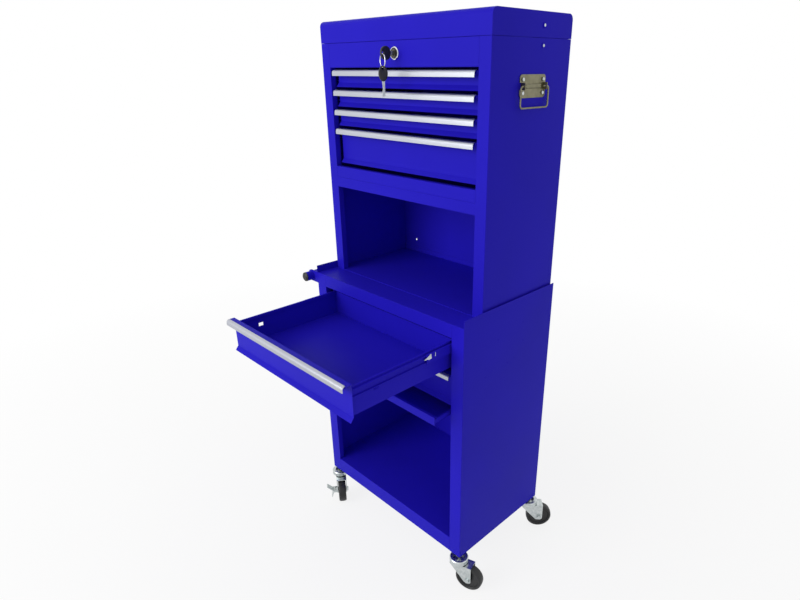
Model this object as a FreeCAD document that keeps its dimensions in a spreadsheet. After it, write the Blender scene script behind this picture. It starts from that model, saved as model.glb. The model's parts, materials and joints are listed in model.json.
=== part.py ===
import FreeCAD, Part
import math
import os
from types import SimpleNamespace

import Sketcher

Vector = FreeCAD.Vector
Rotation = FreeCAD.Rotation
Placement = FreeCAD.Placement

# Rolling tool cabinet: a lower cabinet on four swivel casters, an open middle box and a four-drawer
# top chest with a hinged lid. Millimetres, +Z up, +Y to the back, floor at z = 0. The frame's origin
# is on the floor, in the middle of the width and length that the cabinet takes up at rest.

SIZES = {
    # Sheet steel
    "steel": 0.8,
    "bend_radius": 0.7,
    "seat_gap": 0.3,
    "shaft_gap": 0.06,
    # Lower cabinet
    "low_width": 436.0,
    "low_depth": 270.0,
    "low_height": 526.0,
    "rim_height": 15.0,
    "low_stile": 29.0,
    "stile_return": 12.0,
    "rail_return": 10.0,
    "rear_flange": 12.0,
    "top_rail": 27.0,
    "floor_rail": 36.0,
    "screw_hole_radius": 2.2,
    "screw_hole_inset": 13.0,
    "screw_hole_step": 50.0,
    "screw_hole_rise": 34.0,
    "screw_hole_drop": 20.0,
    # Middle box and top chest
    "up_width": 428.0,
    "up_depth": 212.0,
    "up_rear_inset": 5.0,
    "up_stile": 24.0,
    "mid_height": 205.0,
    "mid_rail": 20.0,
    "vent_hole_inset": 39.0,
    "vent_hole_rise": 30.0,
    "chest_height": 251.0,
    "chest_rail": 22.0,
    "lock_panel": 41.5,
    "panel_hem": 3.0,
    "till_flange": 10.0,
    # Lid, hinge and stays
    "lid_gap": 0.5,
    "lid_height": 38.0,
    "lid_round": 10.0,
    "hinge_length": 380.0,
    "hinge_leaf": 18.0,
    "knuckle_radius": 2.6,
    "knuckle_count": 13.0,
    "hinge_pin_radius": 1.3,
    "stay_length": 74.0,
    "stay_width": 11.0,
    "stay_steel": 1.5,
    "stay_pivot_back": 81.0,
    "stay_chest_drop": 11.0,
    "stay_lid_rise": 18.5,
    "rivet_radius": 2.0,
    "rivet_head_radius": 4.0,
    "rivet_head": 1.3,
    "rivet_stand": 0.1,
    "stay_round": 5.2,
    # Drawers
    "drawer_half_width": 185.0,
    "drawer_recess": 15.0,
    "box_half_width": 180.0,
    "box_top_drop": 7.0,
    "lip_flare": 6.4,
    "lip_height": 8.0,
    "lip_foot": 1.02,
    "ledge_depth": 11.0,
    "ledge_hem": 5.0,
    "wall_hem_width": 3.0,
    "wall_hem_drop": 6.0,
    "hook_gap": 3.2,
    "hook_drop": 7.0,
    "low_box_depth": 240.0,
    "low_face": 68.0,
    "low_pitch": 74.0,
    "low_lip_drop": 173.0,
    "low_travel": 236.0,
    "catch_slot_back": 46.0,
    "catch_slot_length": 10.0,
    "catch_slot_height": 7.0,
    "up_box_depth": 185.0,
    "thin_face": 30.0,
    "thin_pitch": 36.0,
    "deep_lip": 29.0,
    "drawer_gap": 6.0,
    "panel_gap": 5.5,
    "pull_half_width": 183.0,
    "pull_wall": 1.2,
    "pull_round": 6.0,
    "pull_height": 11.0,
    # Pull-out tray under the lower drawers
    "tray_drop": 194.0,
    "tray_face": 17.0,
    "tray_wall": 12.0,
    "tray_depth": 235.0,
    "tray_out": 40.0,
    # Rails and slides
    "rail_web_drop": 12.0,
    "rail_flange": 16.0,
    "rail_lip_gap": 1.1,
    "slide_drop": 18.0,
    "slide_steel": 1.2,
    "slide_race_gap": 0.5,
    "slide_inner_half": 7.0,
    "slide_inner_reach": 4.0,
    "slide_inner_length": 232.0,
    "slide_middle_near": 2.0,
    "slide_middle_length": 180.0,
    "slide_middle_back": 43.0,
    "slide_outer_near": 3.0,
    "slide_outer_length": 240.0,
    "strap_width": 20.0,
    "strap_half": 8.0,
    "strap_foot": 9.0,
    "strap_inset": 30.0,
    # Push bar on the left side
    "bar_radius": 10.0,
    "bar_wall": 1.5,
    "bar_offset": 22.0,
    "bar_drop": 12.0,
    "bar_overhang": 16.0,
    "bar_length": 275.0,
    "bar_plug": 4.5,
    "bar_plug_insert": 9.0,
    "bar_plug_skirt": 2.0,
    "bar_plug_bevel": 3.5,
    "bracket_round": 11.2,
    "bracket_steel": 2.5,
    "bracket_reach": 12.5,
    "bracket_flange": 22.0,
    # Side handles of the chest
    "handle_front": 72.0,
    "handle_length": 70.0,
    "handle_height": 35.5,
    "handle_drop": 53.5,
    "handle_steel": 1.3,
    "handle_notch": 4.0,
    "handle_round": 5.3,
    "handle_rivet_radius": 3.0,
    "handle_ear": 11.0,
    "handle_ear_reach": 9.0,
    "handle_ridge_radius": 2.6,
    "handle_rivet_inset": 7.5,
    "bail_wire_radius": 2.0,
    "bail_stand": 6.2,
    "bail_side": 3.0,
    "bail_drop": 33.0,
    "bail_corner": 6.0,
    "bail_hook": 9.0,
    # Lock and keys
    "lock_drop": 20.0,
    "lock_flange_radius": 10.5,
    "lock_flange": 3.0,
    "lock_barrel_radius": 8.0,
    "lock_barrel": 15.0,
    "lock_nut_radius": 12.0,
    "lock_nut": 4.0,
    "plug_radius": 6.0,
    "plug_proud": 0.8,
    "cam_length": 20.0,
    "cam_half_width": 5.0,
    "cam_steel": 2.0,
    "strike_offset": 14.0,
    "strike_half_depth": 7.0,
    "strike_slot_gap": 1.5,
    "strike_ledge": 6.0,
    "key_head_radius": 11.0,
    "key_head_steel": 4.0,
    "key_blade": 24.0,
    "key_blade_steel": 2.0,
    "key_blade_half": 3.4,
    "key_insert": 17.0,
    "key_hole_radius": 2.6,
    "key_hole_inset": 4.2,
    "key_cut_pitch": 3.1,
    "key_cut_width": 1.7,
    "key_cut_shallow": 0.7,
    "key_cut_middle": 1.2,
    "key_cut_deep": 1.7,
    "ring_radius": 10.4,
    "ring_wire_radius": 0.9,
    "ring_sag": 1.2,
    "ring_turn": -17.0,
    # Casters
    "caster_height": 86.0,
    "caster_inset": 10.5,
    "wheel_radius": 30.0,
    "wheel_half_width": 9.25,
    "wheel_rim": 6.0,
    "wheel_recess": 3.2,
    "wheel_hub_radius": 8.0,
    "wheel_hub_proud": 0.9,
    "wheel_round": 3.0,
    "caster_trail": 25.5,
    "fork_steel": 1.8,
    "fork_side_gap": 0.35,
    "fork_top_gap": 2.2,
    "fork_nose": 16.0,
    "fork_heel": 7.5,
    "fork_foot": 7.5,
    "fork_foot_round": 5.2,
    "race_radius": 17.0,
    "race_height": 1.2,
    "cup_radius": 20.0,
    "cup_well_radius": 12.5,
    "cup_steel": 1.5,
    "cup_height": 10.0,
    "cup_gap": 0.8,
    "cup_floor_rise": 1.0,
    "stem_radius": 4.0,
    "stem_rise": 22.0,
    "stem_head_radius": 8.0,
    "stem_head": 1.8,
    "nut_radius": 7.5,
    "nut_height": 6.5,
    "jam_nut_height": 7.0,
    "plate_size": 56.0,
    "plate_steel": 2.0,
    "plate_flange": 20.0,
    "axle_radius": 3.0,
    "axle_head_radius": 5.4,
    "axle_head": 3.6,
    "yaw_front_right": 17.0,
    "yaw_back_right": 45.0,
    "yaw_front_left": -34.0,
    "yaw_back_left": 140.0,
    # Brake pedals of the left casters
    "pedal_half_width": 7.0,
    "pedal_ear": 1.5,
    "pedal_pin_radius": 1.5,
    "pedal_sleeve_radius": 3.0,
    "pedal_rise": 2.0,
    "pedal_clearance": 0.7,
    "wing_steel": 1.5,
    "wing_up_reach": 15.0,
    "wing_up_rise": 15.0,
    "wing_down_reach": 4.5,
    "wing_down_drop": 18.0,
}

FULL_TURN = 360.0

doc = FreeCAD.newDocument("tool_cabinet")
sheet = doc.addObject("Spreadsheet::Sheet", "dims")


class Size:
    """A length or angle with the sheet expression that it stands for."""

    def __init__(self, value, text):
        self.value = float(value)
        self.text = text

    def __float__(self):
        return self.value

    def __add__(self, other):
        other = as_size(other)
        return Size(self.value + other.value, f"({self.text} + {other.text})")

    def __sub__(self, other):
        other = as_size(other)
        return Size(self.value - other.value, f"({self.text} - {other.text})")

    def __mul__(self, factor):
        factor = as_size(factor)
        return Size(self.value * factor.value, f"({self.text} * {factor.text})")

    def __truediv__(self, divisor):
        divisor = as_size(divisor)
        return Size(self.value / divisor.value, f"({self.text} / {divisor.text})")

    def __neg__(self):
        return self * -1

    def __radd__(self, other):
        return as_size(other) + self

    def __rsub__(self, other):
        return as_size(other) - self

    def __rmul__(self, other):
        return as_size(other) * self


def as_size(number):
    """A plain number as a Size, so that both can be mixed in one sum."""
    return number if isinstance(number, Size) else Size(number, f"({float(number)!r})")


def fill_sheet():
    """Write each size into its aliased cell and hand back the sizes by name."""
    for row, (alias, number) in enumerate(SIZES.items(), start=1):
        sheet.set(f"A{row}", alias)
        sheet.set(f"B{row}", str(number))
        sheet.setAlias(f"B{row}", alias)
    doc.recompute()
    return SimpleNamespace(**{alias: Size(sheet.get(alias), f"dims.{alias}") for alias in SIZES})


D = fill_sheet()

# Levels and faces that several pieces share
BASE = D.caster_height
LOW_TOP = BASE + D.low_height
MID_TOP = LOW_TOP + D.mid_height
CHEST_TOP = MID_TOP + D.chest_height
LID_LOW = CHEST_TOP + D.lid_gap
LID_TOP = LID_LOW + D.lid_height
LOW_SIDE = D.low_width / 2
UP_SIDE = D.up_width / 2
LOW_OPEN = LOW_SIDE - D.low_stile
UP_OPEN = UP_SIDE - D.up_stile
UP_BACK = D.low_depth - D.up_rear_inset
UP_FRONT = UP_BACK - D.up_depth
PULL_REACH = D.ledge_depth + D.pull_round
FORK_INSIDE = D.wheel_half_width + D.wheel_hub_proud + D.fork_side_gap
FORK_OUTSIDE = FORK_INSIDE + D.fork_steel
PEDAL_BACK = -(FORK_OUTSIDE + D.axle_head + D.pedal_clearance + D.pedal_sleeve_radius)


def cosine(angle):
    return Size(math.cos(math.radians(angle.value)), f"cos({angle.text} * 1 deg)")


def sine(angle):
    return Size(math.sin(math.radians(angle.value)), f"sin({angle.text} * 1 deg)")


# The furthest points at rest, and the frame's origin between them: the open drawer's pull in front,
# the back left pedal's upper wing behind, the front right and back left wheels to the sides
STEM_ACROSS = LOW_SIDE - D.caster_inset
WHEEL_REACH = D.caster_trail + D.wheel_radius
TREAD_EDGE = D.wheel_half_width - D.wheel_round
FRONT_REACH = D.low_travel + PULL_REACH - D.drawer_recess
BACK_REACH = (
    D.low_depth
    - D.caster_inset
    + (D.caster_trail + D.pedal_half_width) * sine(D.yaw_back_left)
    + (PEDAL_BACK - D.pedal_sleeve_radius - D.wing_up_reach) * cosine(D.yaw_back_left)
)
RIGHT_REACH = (
    STEM_ACROSS
    + WHEEL_REACH * cosine(D.yaw_front_right)
    + TREAD_EDGE * sine(D.yaw_front_right)
)
LEFT_REACH = (
    STEM_ACROSS
    - WHEEL_REACH * cosine(D.yaw_back_left)
    + TREAD_EDGE * sine(D.yaw_back_left)
)
ORIGIN_BACK = (BACK_REACH - FRONT_REACH) / 2
ORIGIN_ACROSS = (RIGHT_REACH - LEFT_REACH) / 2

NODES = {}


def keep(label, piece, at=None, turned=None):
    """Name a finished sub-part and place it in the frame.

    at is its own origin in cabinet coordinates, whose x = 0 is the cabinet's centre plane and whose
    y = 0 is the lower cabinet's front."""
    at = at or (0, 0, 0)
    origin = Vector(ORIGIN_ACROSS.value, ORIGIN_BACK.value, 0)
    spot = Vector(*(float(value) for value in at)) - origin
    piece.Label = label
    piece.Placement = Placement(spot, turned or Rotation())
    NODES[label] = piece
    return piece


def bind(piece, target, size):
    piece.setExpression(target, as_size(size).text)


def new_body(name):
    return doc.addObject("PartDesign::Body", name + "_body")


def new_sketch(body, plane, level=0):
    """An empty sketch on one of the body's origin planes, moved along its normal by level."""
    sketch = body.newObject("Sketcher::SketchObject", body.Name + "_sketch")
    support = next(item for item in body.Origin.OriginFeatures if item.Role == plane)
    sketch.AttachmentSupport = [(support, "")]
    sketch.MapMode = "FlatFace"
    bind(sketch, "AttachmentOffset.Base.z", level)
    return sketch


def draw_outline(sketch, points):
    """Close a polygon through points and tie every corner to the sheet."""
    first = sketch.GeometryCount
    corners = [Vector(float(as_size(a)), float(as_size(b)), 0) for a, b in points]
    count = len(corners)
    for index, corner in enumerate(corners):
        sketch.addGeometry(Part.LineSegment(corner, corners[(index + 1) % count]), False)
    for index in range(count):
        after = first + (index + 1) % count
        sketch.addConstraint(Sketcher.Constraint("Coincident", first + index, 2, after, 1))
    for index, (across, up) in enumerate(points):
        tie_point(sketch, first + index, 1, across, up)


def tie_point(sketch, geometry, end, across, up):
    for kind, size in (("DistanceX", as_size(across)), ("DistanceY", as_size(up))):
        place = Sketcher.Constraint(kind, -1, 1, geometry, end, size.value)
        number = sketch.addConstraint(place)
        sketch.setExpression(f"Constraints[{number}]", size.text)


def draw_circle(sketch, across, up, radius):
    across, up, radius = as_size(across), as_size(up), as_size(radius)
    centre = Vector(across.value, up.value, 0)
    index = sketch.addGeometry(Part.Circle(centre, Vector(0, 0, 1), radius.value), False)
    tie_point(sketch, index, 3, across, up)
    number = sketch.addConstraint(Sketcher.Constraint("Radius", index, radius.value))
    sketch.setExpression(f"Constraints[{number}]", radius.text)


def rectangle(low_a, low_b, high_a, high_b):
    return [(low_a, low_b), (high_a, low_b), (high_a, high_b), (low_a, high_b)]


def bent_strip(path, thickness, side):
    """The closed outline of sheet that follows a path of square bends.

    side is +1 where the thickness lies left of the path and -1 where it lies right."""
    path = [(as_size(a), as_size(b)) for a, b in path]
    turns = []
    for start, end in zip(path, path[1:]):
        step = (end[0].value - start[0].value, end[1].value - start[1].value)
        length = math.hypot(*step)
        turns.append((-side * round(step[1] / length), side * round(step[0] / length)))
    inner = []
    for index, (across, up) in enumerate(path):
        near = {turns[max(index - 1, 0)], turns[min(index, len(turns) - 1)]}
        shift = (sum(turn[0] for turn in near), sum(turn[1] for turn in near))
        inner.append((across + thickness * shift[0], up + thickness * shift[1]))
    return path + inner[::-1]


def pad(body, plane, outline, length, level=0, circles=(), backwards=False):
    """Add a slab of the outline, less any circles, along the plane's normal."""
    sketch = new_sketch(body, plane, level)
    draw_outline(sketch, outline)
    for circle in circles:
        draw_circle(sketch, *circle)
    slab = body.newObject("PartDesign::Pad", body.Name + "_pad")
    slab.Profile = sketch
    bind(slab, "Length", length)
    slab.Reversed = backwards
    return slab


def cut(body, plane, length, level=0, outlines=(), circles=(), backwards=False):
    """Cut holes of the outlines and circles, backwards being along the plane's normal."""
    doc.recompute()
    before = body.Shape.Volume
    sketch = new_sketch(body, plane, level)
    for outline in outlines:
        draw_outline(sketch, outline)
    for circle in circles:
        draw_circle(sketch, *circle)
    hole = body.newObject("PartDesign::Pocket", body.Name + "_pocket")
    hole.Profile = sketch
    bind(hole, "Length", length)
    hole.Reversed = backwards
    doc.recompute()
    if body.Shape.Volume >= before:
        raise RuntimeError(f"the pocket in {body.Name} cuts nothing")
    return hole


def turn_profile(body, plane, outline, axis="V_Axis"):
    """Turn an outline about the sketch's own axis through a full circle."""
    sketch = new_sketch(body, plane)
    draw_outline(sketch, outline)
    ring = body.newObject("PartDesign::Revolution", body.Name + "_turned")
    ring.Profile = sketch
    ring.ReferenceAxis = (sketch, [axis])
    ring.Angle = FULL_TURN
    return ring


def round_edges(body, radius, wanted):
    """Round each straight edge of the body's tip that wanted(middle, direction) picks."""
    doc.recompute()
    tip = body.Tip
    names = []
    for index, edge in enumerate(tip.Shape.Edges, start=1):
        if len(edge.Vertexes) != 2 or edge.Curve.TypeId != "Part::GeomLine":
            continue
        ends = [vertex.Point for vertex in edge.Vertexes]
        middle = (ends[0] + ends[1]) * 0.5
        direction = (ends[1] - ends[0]).normalize()
        if wanted(middle, direction):
            names.append(f"Edge{index}")
    if not names:
        raise RuntimeError(f"no edge of {body.Name} is there to round")
    fillet = body.newObject("PartDesign::Fillet", body.Name + "_round")
    fillet.Base = (tip, names)
    bind(fillet, "Radius", radius)
    return fillet


def along(axis, *spots):
    """Pick the edges along one axis that pass through any of the spots in the other two."""
    letters = "xyz"
    others = [letter for letter in letters if letter != axis]

    def wanted(middle, direction):
        if abs(abs(getattr(direction, axis)) - 1) > 1e-6:
            return False
        here = [getattr(middle, letter) for letter in others]
        return any(
            all(abs(value - float(as_size(goal))) < 0.01 for value, goal in zip(here, spot))
            for spot in spots
        )

    return wanted


def place_base(piece, at):
    for letter, size in zip("xyz", at):
        bind(piece, f"Placement.Base.{letter}", size)


AXIS_TURNS = {
    "x": Rotation(Vector(0, 0, 1), Vector(1, 0, 0)),
    "y": Rotation(Vector(0, 0, 1), Vector(0, 1, 0)),
    "z": Rotation(),
}


def rod(name, axis, at, radius, length):
    """A round bar that starts at a point and runs along +x, +y or +z."""
    bar = doc.addObject("Part::Cylinder", name)
    bar.Placement = Placement(Vector(), AXIS_TURNS[axis])
    place_base(bar, at)
    bind(bar, "Radius", radius)
    bind(bar, "Height", length)
    return bar


def hexagon(name, axis, at, radius, length):
    """A six-sided nut or bolt head, radius being to its corners."""
    nut = doc.addObject("Part::Prism", name)
    nut.Placement = Placement(Vector(), AXIS_TURNS[axis])
    place_base(nut, at)
    nut.Polygon = 6
    bind(nut, "Circumradius", radius)
    bind(nut, "Height", length)
    return nut


def block(name, low, high):
    """A rectangular block between two corners."""
    bar = doc.addObject("Part::Box", name)
    place_base(bar, low)
    for prop, start, end in zip(("Length", "Width", "Height"), low, high):
        bind(bar, prop, as_size(end) - start)
    return bar


def minus(name, base, tool):
    result = doc.addObject("Part::Cut", name)
    result.Base = base
    result.Tool = tool
    return result


def joined(name, pieces):
    result = doc.addObject("Part::MultiFuse", name)
    result.Shapes = pieces
    return result


def group(name, pieces):
    """Several separate solids under one name."""
    result = doc.addObject("Part::Compound", name)
    result.Links = pieces
    return result


# Lower cabinet

LOW_BACK_FACE = D.low_depth - D.steel


def lower_side(sign, label):
    """A side panel: front stile and its return, side wall, rear flange and the raised rim."""
    body = new_body(label)
    path = [
        (sign * LOW_OPEN, D.stile_return),
        (sign * LOW_OPEN, 0),
        (sign * LOW_SIDE, 0),
        (sign * LOW_SIDE, D.low_depth),
        (sign * (LOW_SIDE - D.rear_flange), D.low_depth),
    ]
    pad(body, "XY_Plane", bent_strip(path, D.steel, sign), D.low_height + D.rim_height, BASE)
    inside = sign * (LOW_SIDE - D.steel)
    past = sign * (LOW_OPEN - D.steel)
    above = rectangle(inside, -D.steel, past, D.low_depth + D.steel)
    cut(body, "XY_Plane", D.rim_height + D.steel * 2, LOW_TOP - D.steel, [above], backwards=True)
    outer = [(sign * LOW_SIDE, 0), (sign * LOW_SIDE, D.low_depth)]
    round_edges(body, D.bend_radius, along("z", *outer))
    keep(label, body)


def notched_sheet(half_open, half_wide, front, back):
    """The outline of a floor that is narrow between the stile returns and wide behind them."""
    step = front + D.stile_return + D.seat_gap
    narrow = half_open - D.seat_gap
    return [
        (-narrow, front),
        (narrow, front),
        (narrow, step),
        (half_wide, step),
        (half_wide, back),
        (-half_wide, back),
        (-half_wide, step),
        (-narrow, step),
    ]


def lower_top_panel():
    """The top: a sheet between the rims with the front rail folded down from it."""
    body = new_body("lower_top_panel")
    narrow = LOW_OPEN - D.seat_gap
    path = [
        (D.rail_return, LOW_TOP - D.top_rail),
        (0, LOW_TOP - D.top_rail),
        (0, LOW_TOP),
        (D.low_depth, LOW_TOP),
    ]
    pad(body, "YZ_Plane", bent_strip(path, D.steel, -1), narrow * 2, -narrow)
    wide = LOW_SIDE - D.steel
    sheet_outline = rectangle(-wide, 0, wide, D.low_depth)
    pad(body, "XY_Plane", sheet_outline, D.steel, LOW_TOP - D.steel)
    corners = [(0, LOW_TOP), (0, LOW_TOP - D.top_rail)]
    round_edges(body, D.bend_radius, along("x", *corners))
    keep("lower_top_panel", body)


def lower_floor_panel():
    """The floor of the open compartment with the bottom front rail folded down from it."""
    body = new_body("lower_floor_panel")
    level = BASE + D.floor_rail
    back = LOW_BACK_FACE - D.steel
    narrow = LOW_OPEN - D.seat_gap
    path = [
        (D.rail_return, BASE),
        (0, BASE),
        (0, level),
        (back, level),
        (back, level - D.rear_flange),
    ]
    pad(body, "YZ_Plane", bent_strip(path, D.steel, -1), narrow * 2, -narrow)
    wide = LOW_SIDE - D.steel
    floor = notched_sheet(LOW_OPEN, wide, D.steel, back)
    pad(body, "XY_Plane", floor, D.steel, level - D.steel)
    start = D.stile_return + D.seat_gap + D.steel
    for sign in (1, -1):
        flange = rectangle(sign * wide, start, sign * (wide - D.steel), back)
        pad(body, "XY_Plane", flange, D.rear_flange, level - D.rear_flange)
    round_edges(body, D.bend_radius, along("x", (0, level), (0, BASE)))
    keep("lower_floor_panel", body)


def lower_back_panel():
    """The back, screwed inside the rear flanges, with two open screw holes near one corner."""
    body = new_body("lower_back_panel")
    wide = LOW_SIDE - D.steel
    holes = [
        (-LOW_SIDE + D.screw_hole_inset, BASE + D.screw_hole_rise, D.screw_hole_radius),
        (
            -LOW_SIDE + D.screw_hole_inset + D.screw_hole_step,
            BASE + D.screw_hole_rise - D.screw_hole_drop,
            D.screw_hole_radius,
        ),
    ]
    outline = rectangle(-wide, BASE, wide, LOW_TOP - D.steel)
    pad(body, "XZ_Plane", outline, D.steel, -LOW_BACK_FACE, circles=holes)
    keep("lower_back_panel", body)


# Casters

AXLE_LEVEL = D.wheel_radius
FORK_TOP = D.wheel_radius * 2 + D.fork_top_gap + D.fork_steel
PEDAL_LEVEL = AXLE_LEVEL + D.pedal_rise
RACE_TOP = FORK_TOP + D.race_height
CUP_LOW = RACE_TOP + D.cup_gap
CUP_TOP = CUP_LOW + D.cup_height
CUP_FLOOR = CUP_LOW + D.cup_floor_rise
CORNERS = {
    "front_right": (1, D.caster_inset, D.yaw_front_right),
    "back_right": (1, D.low_depth - D.caster_inset, D.yaw_back_right),
    "front_left": (-1, D.caster_inset, D.yaw_front_left),
    "back_left": (-1, D.low_depth - D.caster_inset, D.yaw_back_left),
}
# The casters under the push bar are the braked pair
BRAKED = ("front_left", "back_left")


def caster_spot(corner):
    sign, back, yaw = CORNERS[corner]
    return sign * STEM_ACROSS, back, yaw


def corner_plate(corner):
    """A plate across one bottom corner that the caster's stem bolts through."""
    body = new_body("plate_" + corner)
    across, back, _ = caster_spot(corner)
    sign = CORNERS[corner][0]
    wall = LOW_SIDE - D.steel
    inner = wall - D.plate_size
    return_face = LOW_OPEN + D.steel + D.seat_gap
    if corner.startswith("front"):
        near, far = D.steel, D.steel + D.plate_size
        step = D.stile_return + D.seat_gap
        outline = [
            (sign * wall, near),
            (sign * wall, far),
            (sign * inner, far),
            (sign * inner, step),
            (sign * return_face, step),
            (sign * return_face, near),
        ]
    else:
        near, far = LOW_BACK_FACE - D.steel - D.plate_size, LOW_BACK_FACE - D.steel
        outline = rectangle(sign * inner, near, sign * wall, far)
    hole = [(across, back, D.stem_radius + D.shaft_gap)]
    pad(body, "XY_Plane", outline, D.plate_steel, BASE, circles=hole)
    flange = rectangle(sign * wall, near, sign * (wall - D.plate_steel), far)
    pad(body, "XY_Plane", flange, D.plate_flange, BASE)
    return body


def caster_stem(corner):
    """A threaded stem and raceway cup in one, riveted over under the fork, with its two nuts."""
    across, back, _ = caster_spot(corner)
    head_low = FORK_TOP - D.fork_steel - D.stem_head - D.seat_gap / 2
    skirt = D.cup_radius - D.cup_steel
    well = D.cup_well_radius + D.cup_steel
    outline = [
        (0, head_low),
        (D.stem_head_radius, head_low),
        (D.stem_head_radius, head_low + D.stem_head),
        (D.stem_radius, head_low + D.stem_head),
        (D.stem_radius, CUP_FLOOR),
        (well, CUP_FLOOR),
        (well, CUP_TOP - D.cup_steel),
        (skirt, CUP_TOP - D.cup_steel),
        (skirt, CUP_LOW),
        (D.cup_radius, CUP_LOW),
        (D.cup_radius, CUP_TOP - D.cup_steel),
        (D.cup_radius - D.cup_steel, CUP_TOP),
        (D.cup_well_radius, CUP_TOP),
        (D.cup_well_radius, CUP_FLOOR + D.cup_steel),
        (D.stem_radius, CUP_FLOOR + D.cup_steel),
        (D.stem_radius, BASE + D.stem_rise),
        (0, BASE + D.stem_rise),
    ]
    body = new_body("stem_" + corner)
    turn_profile(body, "XZ_Plane", outline)
    place_base(body, (across, back, 0))
    nuts = []
    levels = ((BASE + D.plate_steel, D.nut_height), (BASE - D.jam_nut_height, D.jam_nut_height))
    for number, (level, height) in enumerate(levels):
        name = f"nut_{number}_{corner}"
        solid = hexagon(name + "_blank", "z", (across, back, level), D.nut_radius, height)
        bore = rod(name + "_bore", "z", (across, back, level), D.stem_radius, height)
        nuts.append(minus(name, solid, bore))
    return [body] + nuts


def fork(corner, with_ears):
    """A pressed fork: top plate with its ball race, two tapering legs and, braked, two pedal ears."""
    body = new_body("fork_" + corner)
    under = FORK_TOP - D.fork_steel
    heel = D.caster_trail + D.fork_heel
    foot = AXLE_LEVEL - D.fork_foot
    leg = [
        (-D.fork_nose, under - D.fork_steel),
        (D.caster_trail - D.fork_foot, foot),
        (heel, foot),
        (heel, under - D.fork_steel),
        (heel, FORK_TOP),
        (-D.fork_nose, FORK_TOP),
    ]
    axle_hole = [(D.caster_trail, AXLE_LEVEL, D.axle_radius + D.shaft_gap)]
    for level in (FORK_INSIDE, -FORK_OUTSIDE):
        pad(body, "XZ_Plane", leg, D.fork_steel, level, circles=axle_hole)
    top = rectangle(-D.fork_nose, -FORK_OUTSIDE, heel, FORK_OUTSIDE)
    pad(body, "XY_Plane", top, D.fork_steel, under)
    race = body.newObject("PartDesign::Pad", body.Name + "_race")
    ring = new_sketch(body, "XY_Plane", under)
    draw_circle(ring, 0, 0, D.race_radius)
    race.Profile = ring
    bind(race, "Length", D.fork_steel + D.race_height)
    if with_ears:
        for side in (1, -1):
            start = D.caster_trail + side * (D.pedal_half_width + D.seat_gap)
            level = start if side > 0 else start - D.pedal_ear
            ear = rectangle(
                -FORK_OUTSIDE,
                PEDAL_LEVEL - D.pedal_sleeve_radius,
                PEDAL_BACK - D.pedal_sleeve_radius,
                PEDAL_LEVEL + D.pedal_sleeve_radius,
            )
            pin = [(PEDAL_BACK, PEDAL_LEVEL, D.pedal_pin_radius)]
            pad(body, "YZ_Plane", ear, D.pedal_ear, level, circles=pin)
    cut(
        body,
        "XY_Plane",
        D.fork_steel + D.race_height * 2,
        under - D.steel,
        circles=[(0, 0, D.stem_radius + D.shaft_gap)],
        backwards=True,
    )
    apex = [
        (D.caster_trail - D.fork_foot, foot),
        (heel, foot),
    ]
    round_edges(body, D.fork_foot_round, along("y", *apex))
    bolt = axle_bolt(corner)
    parts = [body, bolt]
    if with_ears:
        width = D.pedal_half_width + D.seat_gap + D.pedal_ear
        start = (D.caster_trail - width, PEDAL_BACK, PEDAL_LEVEL)
        parts.append(rod("pedal_pin_" + corner, "x", start, D.pedal_pin_radius, width * 2))
    across, back, yaw = caster_spot(corner)
    both = group("fork_group_" + corner, parts)
    turned = Rotation(Vector(0, 0, 1), yaw.value)
    keep("caster_fork_" + corner, both, (across, back, 0), turned)


def axle_bolt(corner):
    """The bolt that the wheel turns on, with its head and nut outside the legs."""
    name = "axle_" + corner
    ends = FORK_OUTSIDE + D.axle_head
    centre = D.caster_trail
    shaft = rod(name + "_shaft", "y", (centre, -ends, AXLE_LEVEL), D.axle_radius, ends * 2)
    head = hexagon(name + "_head", "y", (centre, -ends, AXLE_LEVEL), D.axle_head_radius, D.axle_head)
    nut_at = (centre, FORK_OUTSIDE, AXLE_LEVEL)
    nut = hexagon(name + "_nut", "y", nut_at, D.axle_head_radius, D.axle_head)
    return joined(name, [shaft, head, nut])


def wheel(corner):
    """A moulded wheel with a proud hub, recessed web and rounded tread."""
    body = new_body("wheel_" + corner)
    half = D.wheel_half_width
    web = half - D.wheel_recess
    hub = half + D.wheel_hub_proud
    rim = D.wheel_radius - D.wheel_rim
    bore = D.axle_radius + D.shaft_gap
    slope = D.wheel_recess / 2
    side = [
        (bore, hub),
        (D.wheel_hub_radius, hub),
        (D.wheel_hub_radius, web),
        (rim - slope, web),
        (rim, half),
        (D.wheel_radius - D.wheel_round, half),
        (D.wheel_radius, half - D.wheel_round),
    ]
    outline = [(radius, -level) for radius, level in side] + side[::-1]
    turn_profile(body, "XY_Plane", outline)
    across, back, yaw = caster_spot(corner)
    reach = (
        across + D.caster_trail * cosine(yaw),
        back + D.caster_trail * sine(yaw),
        AXLE_LEVEL,
    )
    keep("caster_wheel_" + corner, body, reach, Rotation(Vector(0, 0, 1), yaw.value))


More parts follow.
